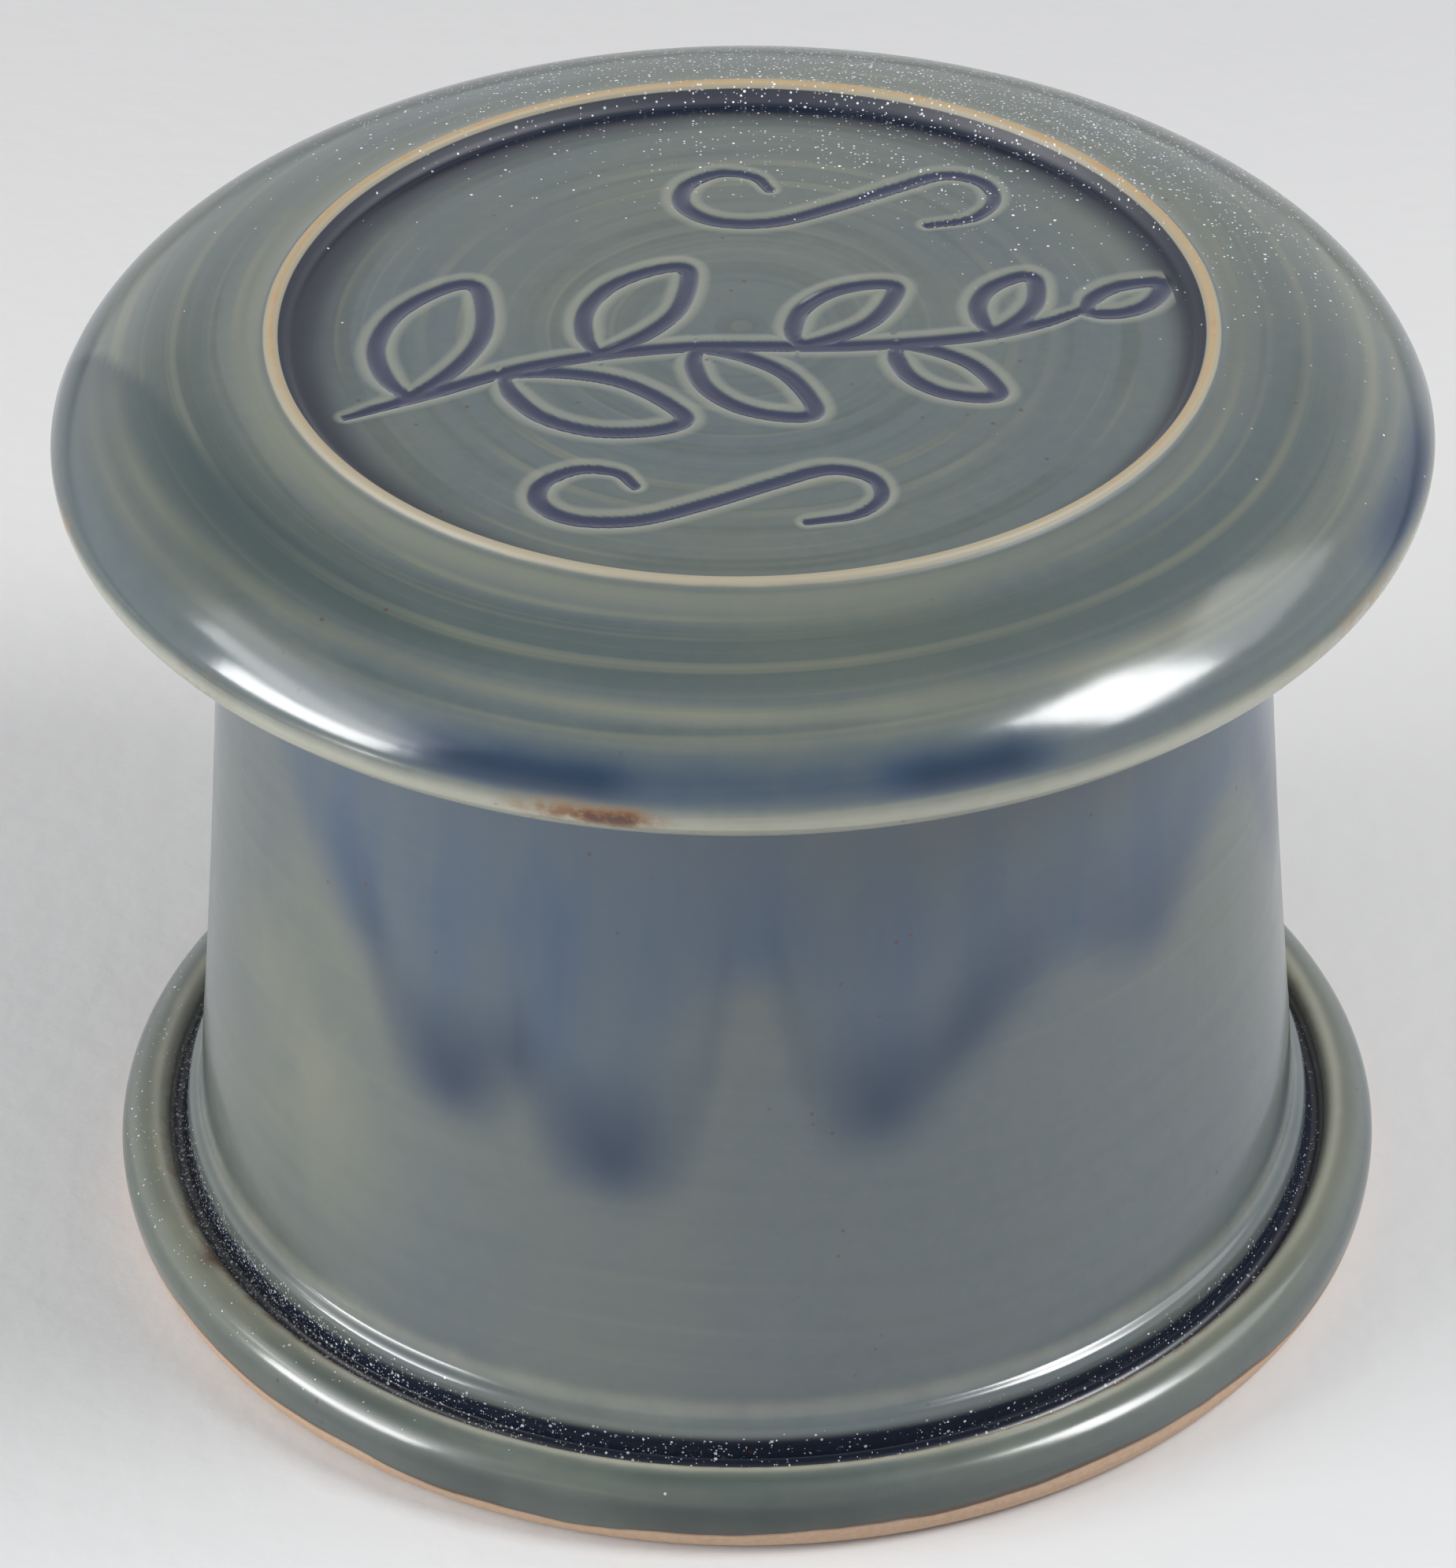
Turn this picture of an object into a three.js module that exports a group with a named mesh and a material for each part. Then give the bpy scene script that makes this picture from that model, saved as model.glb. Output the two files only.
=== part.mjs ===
// A stoneware butter keeper: a crock with a wide foot, and a mushroom lid that carries a bell.
// The bell hangs mouth down in the crock, where water seals the butter packed inside it.
// Units are millimetres, +Z is up, and the origin is on the table under the crock's axis.

import * as THREE from "three";
import { mergeVertices } from "three/addons/utils/BufferGeometryUtils.js";

// Round pieces
const FACETS = 48;
const JOINT_GAP = 0.3;

// Foot ring: the thrown saucer that the crock stands in
const FOOT_UNDERCUT = 2.3;
const CONTACT_WIDTH = 9.2;
const BEAD_WIDEST_HEIGHT = 4.6;
const BEAD_RISE = 3.2;
const BEAD_OUTER_ROUND = 3.1;
const BEAD_INNER_ROUND = 1.5;
const BEAD_INNER_DROP = 1.4;
const TROUGH_ROUND = 0.95;
const LEDGE_ROUND = 1.0;
const LEDGE_FLAT = 0.5;
const LEDGE_HEIGHT = 10.0;
const SHELF_HEIGHT = 3.0;

// Crock wall: the thrown cylinder that holds the water
const CROCK_HEIGHT = 86.0;
const MOUTH_RADIUS = 48.2;
const FLARE = 5.3;
const FLARE_BOW = 0.9;
const CROCK_WALL = 4.6;
const FOOT_OVERHANG = 0.3;
const WELL_FLOOR_THICKNESS = 6.0;
const WELL_FILLET = 6.0;

// Lid cap: the mushroom top that overhangs the crock
const LID_OVERHANG = 15.3;
const CAP_RISE = 10.0;
const RING_INSET = 5.3;
const RING_WIDTH = 1.4;
const RING_PROUD = 1.1;
const RING_FOOT_WIDTH = 0.7;
const MEDALLION_DEPTH = 2.0;
const MEDALLION_CROWN = 0.7;
const GROOVE_WIDTH = 1.3;
const RIM_BELOW_SEAT = 1.0;
const LIP_BELOW_SEAT = 6.0;
const LIP_FLAT = 0.6;
const LIP_INNER_ROUND = 1.5;
const RECESS_FILLET = 2.0;
const RECESS_CLEARANCE = 3.8;
const SHOULDER_SPREAD = 1.84;
const SHOULDER_FULLNESS = 1.62;
const CEILING_RISE = 2.6;

// Butter bell: the cup that is luted under the cap
const BELL_CLEARANCE = 3.2;
const BELL_TAPER = 1.0;
const BELL_WALL = 4.0;
const BELL_ABOVE_FLOOR = 16.7;

// Places that follow from the sizes above
const SEAT_HEIGHT = CROCK_HEIGHT + JOINT_GAP;
const WELL_RADIUS = MOUTH_RADIUS - CROCK_WALL;
const CUP_BOTTOM = SHELF_HEIGHT + JOINT_GAP;
const WELL_FLOOR = CUP_BOTTOM + WELL_FLOOR_THICKNESS;
const BELL_RADIUS = WELL_RADIUS - BELL_CLEARANCE;
const BELL_MOUTH = WELL_FLOOR + BELL_ABOVE_FLOOR;
const WALL_FOOT_RADIUS = MOUTH_RADIUS + FLARE;
const SOCKET_RADIUS = WALL_FOOT_RADIUS - FOOT_OVERHANG;
const LEDGE_RADIUS = WALL_FOOT_RADIUS + LEDGE_FLAT + LEDGE_ROUND;
const TROUGH_OUTER_RADIUS = LEDGE_RADIUS + 2 * TROUGH_ROUND;
const BEAD_CREST_RADIUS = TROUGH_OUTER_RADIUS + BEAD_INNER_ROUND;
const FOOT_RADIUS = BEAD_CREST_RADIUS + BEAD_OUTER_ROUND;
const LID_RADIUS = MOUTH_RADIUS + LID_OVERHANG;
const RING_RADIUS = MOUTH_RADIUS - RING_INSET;

const ROUND_STEPS = 6;

/** Points on an elliptical arc in the (radius, height) half plane, both ends included. */
function arc(centre, reach, fromDegrees, toDegrees, steps = ROUND_STEPS) {
  const points = [];
  for (let i = 0; i <= steps; i += 1) {
    const angle = THREE.MathUtils.degToRad(
      THREE.MathUtils.lerp(fromDegrees, toDegrees, i / steps),
    );
    const radius = centre[0] + reach[0] * Math.cos(angle);
    const height = centre[1] + reach[1] * Math.sin(angle);
    points.push([radius, height]);
  }
  return points;
}

/** Points on the wall's hollow flare, from its foot up to the start of the rim's round. */
function flare(foot, top, bow, steps = 8) {
  const middle = [(foot[0] + top[0]) / 2 - bow, (foot[1] + top[1]) / 2];
  const curve = new THREE.QuadraticBezierCurve(
    new THREE.Vector2(...foot),
    new THREE.Vector2(...middle),
    new THREE.Vector2(...top),
  );
  return curve.getPoints(steps).map((point) => [point.x, point.y]);
}

/** Points on the cap's shoulder, from beside the ring out to the widest part of the rim. */
function shoulder(ringSide, rim, steps = 10) {
  const points = [];
  for (let i = 0; i <= steps; i += 1) {
    const out = Math.sin((Math.PI / 2) * (i / steps));
    const left = Math.max(0, 1 - out ** SHOULDER_SPREAD);
    const radius = THREE.MathUtils.lerp(ringSide[0], rim[0], out);
    const height = rim[1] + (ringSide[1] - rim[1]) * left ** (1 / SHOULDER_FULLNESS);
    points.push([radius, height]);
  }
  return points;
}

/** Points on the medallion's gently crowned floor, from the axis out to its groove. */
function crown(centreHeight, edge, steps = 3) {
  const points = [];
  for (let i = 0; i <= steps; i += 1) {
    const out = i / steps;
    points.push([edge[0] * out, THREE.MathUtils.lerp(centreHeight, edge[1], out ** 2)]);
  }
  return points;
}

/** Turns an outline into a closed solid of revolution about +Z. */
function turned(outline) {
  const loop = outline.map(([radius, height]) => new THREE.Vector2(radius, height));
  const geometry = new THREE.LatheGeometry(loop, FACETS);
  geometry.rotateX(Math.PI / 2);
  geometry.deleteAttribute("normal");
  geometry.deleteAttribute("uv");
  const solid = mergeVertices(geometry, 1e-4);
  solid.computeVertexNormals();
  return solid;
}

function piece(name, geometry, colour, roughness) {
  const material = new THREE.MeshStandardMaterial({ color: colour, roughness, metalness: 0 });
  const mesh = new THREE.Mesh(geometry, material);
  mesh.name = name;
  return mesh;
}

/** The foot: an unglazed contact face, a fat bead, a narrow trough and the wall's ledge. */
function footRing() {
  const contactRadius = FOOT_RADIUS - FOOT_UNDERCUT;
  const innerRadius = contactRadius - CONTACT_WIDTH;
  const crestHeight = BEAD_WIDEST_HEIGHT + BEAD_RISE;
  const troughHeight = crestHeight - BEAD_INNER_DROP;
  const outline = [
    [innerRadius, 0],
    ...arc(
      [contactRadius, BEAD_WIDEST_HEIGHT],
      [FOOT_UNDERCUT, BEAD_WIDEST_HEIGHT],
      -90,
      0,
    ),
    ...arc(
      [BEAD_CREST_RADIUS, BEAD_WIDEST_HEIGHT],
      [BEAD_OUTER_ROUND, BEAD_RISE],
      0,
      90,
    ).slice(1),
    ...arc(
      [BEAD_CREST_RADIUS, troughHeight],
      [BEAD_INNER_ROUND, BEAD_INNER_DROP],
      90,
      180,
      4,
    ).slice(1),
    ...arc(
      [TROUGH_OUTER_RADIUS - TROUGH_ROUND, troughHeight],
      [TROUGH_ROUND, TROUGH_ROUND],
      0,
      -180,
    ).slice(1),
    ...arc(
      [LEDGE_RADIUS - LEDGE_ROUND, LEDGE_HEIGHT - LEDGE_ROUND],
      [LEDGE_ROUND, LEDGE_ROUND],
      0,
      90,
      4,
    ),
    [SOCKET_RADIUS, LEDGE_HEIGHT],
    [SOCKET_RADIUS, SHELF_HEIGHT],
    [innerRadius, SHELF_HEIGHT],
    [innerRadius, 0],
  ];
  return piece("foot_ring", turned(outline), 0x66726c, 0.25);
}

/** The crock's cup: a flat bottom in the foot's socket, a flared wall and a rounded rim. */
function crockWall() {
  const spigotRadius = SOCKET_RADIUS - JOINT_GAP;
  const wallFoot = LEDGE_HEIGHT + JOINT_GAP;
  const rimRound = CROCK_WALL / 2;
  const rimStart = CROCK_HEIGHT - rimRound;
  const outline = [
    [0, CUP_BOTTOM],
    [spigotRadius, CUP_BOTTOM],
    [spigotRadius, wallFoot],
    ...flare([WALL_FOOT_RADIUS, wallFoot], [MOUTH_RADIUS, rimStart], FLARE_BOW),
    ...arc([MOUTH_RADIUS - rimRound, rimStart], [rimRound, rimRound], 0, 180, 8).slice(1),
    ...arc(
      [WELL_RADIUS - WELL_FILLET, WELL_FLOOR + WELL_FILLET],
      [WELL_FILLET, WELL_FILLET],
      0,
      -90,
    ),
    [0, WELL_FLOOR],
  ];
  return piece("crock_wall", turned(outline), 0x66706f, 0.22);
}

/** The cap: crowned medallion, raised ring, broad shoulder, fat rim and a recess for the crock. */
function lidCap() {
  const ringTop = SEAT_HEIGHT + CAP_RISE;
  const ringInner = RING_RADIUS - RING_WIDTH / 2;
  const ringOuter = RING_RADIUS + RING_WIDTH / 2;
  const grooveHeight = ringTop - MEDALLION_DEPTH;
  const rim = [LID_RADIUS, SEAT_HEIGHT - RIM_BELOW_SEAT];
  const lipHeight = SEAT_HEIGHT - LIP_BELOW_SEAT;
  const recessRadius = MOUTH_RADIUS + RECESS_CLEARANCE;
  const lipInnerRadius = recessRadius + LIP_INNER_ROUND;
  const lipOuterRadius = lipInnerRadius + LIP_FLAT;
  const ceilingRadius = BELL_RADIUS - BELL_WALL;
  const outline = [
    ...crown(grooveHeight + MEDALLION_CROWN, [ringInner - GROOVE_WIDTH, grooveHeight]),
    [ringInner - RING_FOOT_WIDTH, grooveHeight],
    ...arc(
      [RING_RADIUS, ringTop - RING_WIDTH / 2],
      [RING_WIDTH / 2, RING_WIDTH / 2],
      180,
      0,
      4,
    ),
    ...shoulder([ringOuter + RING_FOOT_WIDTH, ringTop - RING_PROUD], rim),
    ...arc(
      [lipOuterRadius, rim[1]],
      [LID_RADIUS - lipOuterRadius, rim[1] - lipHeight],
      0,
      -90,
    ).slice(1),
    ...arc(
      [lipInnerRadius, lipHeight + LIP_INNER_ROUND],
      [LIP_INNER_ROUND, LIP_INNER_ROUND],
      -90,
      -180,
      4,
    ),
    ...arc(
      [recessRadius - RECESS_FILLET, SEAT_HEIGHT - RECESS_FILLET],
      [RECESS_FILLET, RECESS_FILLET],
      0,
      90,
      4,
    ),
    [ceilingRadius, SEAT_HEIGHT],
    [ceilingRadius, SEAT_HEIGHT + CEILING_RISE],
    [0, SEAT_HEIGHT + CEILING_RISE],
  ];
  return piece("lid_cap", turned(outline.reverse()), 0x6b7673, 0.2);
}

/** The bell: a tapered tube, open below, with a round lip at its mouth. */
function butterBell() {
  const top = SEAT_HEIGHT - JOINT_GAP;
  const lipRound = BELL_WALL / 2;
  const lipHeight = BELL_MOUTH + lipRound;
  const mouthRadius = BELL_RADIUS - BELL_TAPER;
  const outline = [
    [BELL_RADIUS - BELL_WALL, top],
    ...arc([mouthRadius - lipRound, lipHeight], [lipRound, lipRound], -180, 0, 8),
    [BELL_RADIUS, top],
    [BELL_RADIUS - BELL_WALL, top],
  ];
  return piece("butter_bell", turned(outline), 0x6b7673, 0.25);
}

const butterCrock = new THREE.Group();
butterCrock.name = "butter_crock";
butterCrock.add(footRing());
butterCrock.add(crockWall());
butterCrock.add(lidCap());
butterCrock.add(butterBell());

export default butterCrock;
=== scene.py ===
"""A stoneware butter crock: a glazed crock on a wide foot, and a mushroom lid with a hidden bell."""

import math

import bmesh
import bpy
import numpy as np
from mathutils import Matrix, Vector


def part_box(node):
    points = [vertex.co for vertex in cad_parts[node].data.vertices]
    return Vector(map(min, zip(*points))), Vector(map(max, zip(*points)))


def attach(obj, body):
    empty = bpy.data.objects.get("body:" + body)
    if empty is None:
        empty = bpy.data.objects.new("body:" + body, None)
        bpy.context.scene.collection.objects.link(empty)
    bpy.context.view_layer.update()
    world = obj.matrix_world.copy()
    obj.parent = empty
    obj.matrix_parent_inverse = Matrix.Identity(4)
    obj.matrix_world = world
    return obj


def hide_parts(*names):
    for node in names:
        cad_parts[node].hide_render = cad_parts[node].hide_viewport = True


bl_info = {
    "name": "Butter Crock",
    "version": (1, 0, 0),
    "blender": (4, 5, 0),
    "location": "View3D > Sidebar > Crock",
    "description": "Throws, incises and glazes a butter crock around its packed frame",
    "category": "Add Mesh",
}

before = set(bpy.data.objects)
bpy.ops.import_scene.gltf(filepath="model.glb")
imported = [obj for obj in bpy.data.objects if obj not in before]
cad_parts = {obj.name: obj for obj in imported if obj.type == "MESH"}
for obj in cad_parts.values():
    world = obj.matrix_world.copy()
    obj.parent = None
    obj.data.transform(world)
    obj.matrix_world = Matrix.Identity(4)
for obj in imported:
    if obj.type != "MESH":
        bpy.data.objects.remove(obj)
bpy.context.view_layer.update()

MM = 0.001
WALL_LOW, WALL_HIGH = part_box("crock_wall")
FOOT_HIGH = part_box("foot_ring")[1]
CAP_LOW, CAP_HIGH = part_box("lid_cap")
BELL_LOW, BELL_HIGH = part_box("butter_bell")


# ---------------------------------------------------------------------------
# Sizes and colours that a potter would change
# ---------------------------------------------------------------------------


def length(name, description, default):
    """A length property, in metres."""
    return bpy.props.FloatProperty(
        name=name, description=description, default=default, unit="LENGTH", precision=5
    )


def angle(name, description, default):
    """An angle property, in radians."""
    return bpy.props.FloatProperty(name=name, description=description, default=default, subtype="ANGLE")


def colour(name, description, default):
    """A linear colour property."""
    return bpy.props.FloatVectorProperty(
        name=name, description=description, default=default, size=3, min=0.0, max=1.0, subtype="COLOR"
    )


class CrockSizes(bpy.types.PropertyGroup):
    """Sizes of the crock's wall and foot"""

    mouth_radius: length("Mouth radius", "Outside of the wall at the rim", 0.0482)
    wall: length("Wall", "Thickness of the wall at the rim", 0.0046)
    flare_bow: length("Flare bow", "How far the flare is hollowed", 0.0009)
    floor: length("Floor", "Thickness of the floor", 0.006)
    well_fillet: length("Well fillet", "Round between the floor and the wall inside", 0.006)
    foot_fillet: length("Foot fillet", "Hollow where the wall runs out onto the ledge", 0.0009)
    tenon: length("Tenon", "How far the cup goes down into the foot", 0.0052)
    ledge_round: length("Ledge round", "Round of the ledge's edge", 0.001)
    trough_round: length("Trough round", "Radius of the trough's hollow", 0.00095)
    bead_inner_round: length("Bead inner round", "Reach of the bead's inner side", 0.0015)
    bead_inner_drop: length("Bead inner drop", "Height of the bead's inner side", 0.0014)
    bead_outer_round: length("Bead outer round", "Reach of the bead's outer side", 0.0031)
    bead_rise: length("Bead rise", "Height of the bead over its widest part", 0.0032)
    bead_widest: length("Bead widest height", "Height of the bead's widest part", 0.0046)
    undercut: length("Undercut", "How far the foot turns in to the table", 0.0023)
    contact_width: length("Contact width", "Width of the bare face on the table", 0.0092)
    shelf: length("Shelf", "Height of the shelf under the crock's floor", 0.003)


class LidSizes(bpy.types.PropertyGroup):
    """Sizes of the lid's cap and bell"""

    ring_radius: length("Ring radius", "Middle of the raised ring", 0.0429)
    ring_width: length("Ring width", "Width of the raised ring", 0.0014)
    ring_proud: length("Ring proud", "Height of the ring over the shoulder", 0.0011)
    ring_foot: length("Ring foot", "Reach of the ring's sloping sides", 0.0007)
    medallion_depth: length("Medallion depth", "Depth of the groove under the ring", 0.002)
    medallion_crown: length("Medallion crown", "Rise of the medallion's middle", 0.0007)
    groove_width: length("Groove width", "Width of the groove's bottom", 0.0013)
    seat_below_top: length("Seat below top", "From the ring's top to the seat", 0.010)
    rim_below_seat: length("Rim below seat", "Drop of the rim's widest part", 0.001)
    lip_flat: length("Lip flat", "Flat part under the rim", 0.0006)
    lip_inner_round: length("Lip inner round", "Round of the lip's inner edge", 0.0015)
    recess_radius: length("Recess radius", "Inside of the lip, over the crock's rim", 0.052)
    recess_fillet: length("Recess fillet", "Round in the recess", 0.002)
    ceiling_rise: length("Ceiling rise", "Depth of the bell's ceiling over the seat", 0.0026)
    bell_wall: length("Bell wall", "Thickness of the bell's wall", 0.004)
    bell_taper: length("Bell taper", "How far the bell narrows to its mouth", 0.001)
    slip_fillet: length("Slip fillet", "Slip smoothed into the corner of the bell", 0.0022)
    cut_width: length("Cut width", "Width of the incised lines", 0.0016)
    cut_depth: length("Cut depth", "Depth of the incised lines", 0.00030)
    burr_height: length("Burr height", "Clay raised beside the incised lines", 0.00005)
    cut_reach: length("Cut reach", "Radius that the incised lines stay within", 0.0405)


class GlazeColours(bpy.types.PropertyGroup):
    """Colours of the glazes and of the clay, linear"""

    celadon: colour("Celadon", "Grey-green of the glaze", (0.118, 0.139, 0.124))
    slate: colour("Slate", "Blue-grey where the glaze is cooler", (0.092, 0.118, 0.133))
    pale: colour("Pale", "Light olive where the glaze thins on a ridge", (0.225, 0.228, 0.165))
    moss: colour("Moss", "Dark green of thick glaze", (0.047, 0.068, 0.062))
    dusk: colour("Dusk", "Cooler grey washed over the crock's wall", (0.080, 0.096, 0.106))
    sand: colour("Sand", "Warm patches on the crock's wall", (0.190, 0.200, 0.150))
    shoulder: colour("Shoulder", "Lighter olive beside the lid's ring", (0.205, 0.215, 0.165))
    lid_dip: colour("Lid dip", "Second dip over the lid's left shoulder", (0.034, 0.056, 0.060))
    # Darker colour on the lower outer face of the bead, strongest at the front
    foot_dark: colour("Foot dip", "Second dip under the front of the bead", (0.014, 0.027, 0.025))
    cobalt: colour("Cobalt", "Blue of the runs", (0.035, 0.068, 0.125))
    ink: colour("Ink", "Deep blue where a run gathers", (0.006, 0.024, 0.058))
    indigo: colour("Indigo", "Blue-black where the glaze pools", (0.009, 0.014, 0.030))
    line: colour("Line", "Glaze in the incised lines", (0.036, 0.042, 0.078))
    halo: colour("Halo", "Thin glaze beside the incised lines", (0.300, 0.310, 0.250))
    cream: colour("Cream", "Pale edge where the glaze breaks", (0.42, 0.42, 0.34))
    oat: colour("Oat", "Side of the ring", (0.33, 0.295, 0.215))
    tan: colour("Tan", "Top of the ring", (0.40, 0.295, 0.165))
    rust: colour("Rust", "Orange-brown marks on the ring", (0.42, 0.25, 0.11))
    toast: colour("Toast", "Brown marks on thin edges", (0.27, 0.125, 0.040))
    amber: colour("Amber", "Halo of an iron spot", (0.200, 0.092, 0.022))
    iron: colour("Iron", "Red-brown iron spots", (0.080, 0.019, 0.004))
    clay: colour("Clay", "Bare fired clay of the foot", (0.50, 0.35, 0.24))
    dark_clay: colour("Dark clay", "Darker grain of the bare clay", (0.40, 0.24, 0.15))
    clay_line: colour("Clay line", "Brown line where the glaze ends", (0.055, 0.025, 0.012))
    # The white specks are dust on the lid, and partly painted glints in the trough
    dim_speck: colour("Dim speck", "Faintest of the white specks", (0.22, 0.23, 0.26))
    bright_speck: colour("Bright speck", "Brightest of the white specks", (0.90, 0.92, 0.96))


class StudioSettings(bpy.types.PropertyGroup):
    """The floor, lights and camera"""

    floor_colour: colour("Floor", "Pale floor", (0.69, 0.687, 0.688))
    floor_cloud: colour("Floor cloud", "Faint clouds on the floor", (0.68, 0.68, 0.685))
    # Painted shade: the floor is darker behind the crock, where the light falls off
    floor_shade_behind: colour("Floor behind", "The floor behind the crock", (0.57, 0.57, 0.575))
    camera_distance: length("Camera distance", "Level distance from the axis", 0.532)
    camera_height: length("Camera height", "Height over the table", 0.425)
    camera_pitch: angle("Pitch", "Looking down", 0.622)
    camera_yaw: angle("Yaw", "Turn to the right", -0.003)
    camera_roll: angle("Roll", "Tilt of the camera", -0.008)
    focal_length: bpy.props.FloatProperty(
        name="Focal length", description="Lens, in millimetres", default=157.3, subtype="DISTANCE_CAMERA"
    )


# ---------------------------------------------------------------------------
# Outlines: (radius, height) points, turned about the vertical axis
# ---------------------------------------------------------------------------


def arc(centre, reach, start, stop, steps):
    """Points on an elliptical arc between two angles in degrees, both ends included."""
    angles = np.radians(np.linspace(start, stop, steps + 1))
    return [(centre[0] + reach[0] * math.cos(a), centre[1] + reach[1] * math.sin(a)) for a in angles]


def line(start, stop, steps):
    """Evenly spaced points from start to stop, both ends included."""
    return [
        (start[0] + (stop[0] - start[0]) * t, start[1] + (stop[1] - start[1]) * t)
        for t in np.linspace(0, 1, steps + 1)
    ]


def flare(foot, top, bow, steps):
    """Points on the wall's hollow flare."""
    middle = ((foot[0] + top[0]) / 2 - bow, (foot[1] + top[1]) / 2)
    points = []
    for t in np.linspace(0, 1, steps + 1):
        weights = ((1 - t) ** 2, 2 * t * (1 - t), t * t)
        points.append(tuple(sum(w * p[k] for w, p in zip(weights, (foot, middle, top))) for k in (0, 1)))
    return points


def shoulder(ring_side, rim, steps, spread=1.84, fullness=1.62):
    """Points on the cap's shoulder, from beside the ring to the widest part of the rim."""
    points = []
    for t in np.linspace(0, 1, steps + 1):
        out = math.sin(math.pi / 2 * t)
        left = max(0.0, 1 - out**spread)
        radius = ring_side[0] + (rim[0] - ring_side[0]) * out
        points.append((radius, rim[1] + (ring_side[1] - rim[1]) * left ** (1 / fullness)))
    return points


def crown(centre_height, edge, steps):
    """Points on the medallion's floor, from the axis out to its groove."""
    return [
        (edge[0] * t, centre_height + (edge[1] - centre_height) * t * t)
        for t in np.linspace(0, 1, steps + 1)
    ]


def softened(points, low, high, rounds):
    """The same outline with the corners between two indices eased, as a wet sponge does."""
    moved = np.array(points, float)
    for _ in range(rounds):
        inner = moved[low:high]
        around = (moved[low - 1 : high - 1] + moved[low + 1 : high + 1]) / 2
        moved[low:high] = inner + 0.5 * (around - inner)
    return [tuple(p) for p in moved]


def foot_radii(sizes):
    """Radii of the bead's crest, the trough and the ledge, worked inwards from the widest part."""
    crest = FOOT_HIGH.x - sizes.bead_outer_round
    trough = crest - sizes.bead_inner_round
    return crest, trough, trough - 2 * sizes.trough_round


def crock_outline(sizes):
    """The crock's cup with its ledge, from the axis underneath round to the axis inside."""
    ledge = foot_radii(sizes)[2]
    base = WALL_HIGH.x
    seat = FOOT_HIGH.z
    buried = seat - sizes.tenon
    mouth = sizes.mouth_radius
    half = sizes.wall / 2
    rim_start = WALL_HIGH.z - half
    inside = mouth - sizes.wall
    floor = WALL_LOW.z + sizes.floor
    edge = sizes.ledge_round
    hollow = sizes.foot_fillet
    fillet = sizes.well_fillet
    under = [
        *line((0, WALL_LOW.z), (base - 0.6 * MM, WALL_LOW.z), 10),
        *line((base - 0.6 * MM, buried), (ledge - 0.2 * MM, buried), 2),
        (ledge, buried + 0.3 * MM),
        *line((ledge, buried + 1 * MM), (ledge, seat - edge), 4)[:-1],
    ]
    step = [
        *arc((ledge - edge, seat - edge), (edge, edge), 0, 82, 7),
        *arc((base + hollow * 0.75, seat + hollow), (hollow * 0.75, hollow * 0.95), -90, -178, 6),
    ]
    rise = flare((base, seat + hollow + 0.6 * MM), (mouth, rim_start), sizes.flare_bow, 110)
    outside = softened(under + step + rise, len(under), len(under) + len(step) + 2, 9)
    return outside + [
        *arc((mouth - half, rim_start), (half, half), 0, 180, 20)[1:],
        *line((inside, rim_start - 2 * MM), (inside, floor + fillet + 2 * MM), 30),
        *arc((inside - fillet, floor + fillet), (fillet, fillet), 0, -90, 10),
        *line((inside - fillet - 1 * MM, floor), (0, floor), 18),
    ]


def foot_outline(sizes):
    """The foot ring: bare face, undercut, bead and trough, closed on itself inside the crock."""
    crest, trough, ledge = foot_radii(sizes)
    contact = FOOT_HIGH.x - sizes.undercut
    inner = contact - sizes.contact_width
    widest = sizes.bead_widest
    bottom = widest + sizes.bead_rise - sizes.bead_inner_drop
    hidden = ledge - 1.8 * MM
    hollow = (sizes.trough_round, sizes.trough_round)
    loop = [
        *arc((inner + 0.6 * MM, 0.6 * MM), (0.6 * MM, 0.6 * MM), 180, 270, 4),
        *line((inner + 1 * MM, 0), (contact - 0.4 * MM, 0), 8),
        *arc((contact, widest), (sizes.undercut, widest), -88, 0, 22),
        *arc((crest, widest), (sizes.bead_outer_round, sizes.bead_rise), 0, 90, 26)[1:],
        *arc((crest, bottom), (sizes.bead_inner_round, sizes.bead_inner_drop), 90, 180, 14)[1:],
        *arc((trough - sizes.trough_round, bottom), hollow, 0, -178, 14)[1:],
        (ledge - 0.4 * MM, bottom + 0.3 * MM),
        (hidden, bottom + 0.3 * MM),
        (hidden, sizes.shelf),
        *line((hidden - 0.4 * MM, sizes.shelf), (inner, sizes.shelf), 4),
        (inner, sizes.shelf / 2),
    ]
    return loop + loop[:1]


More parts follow.
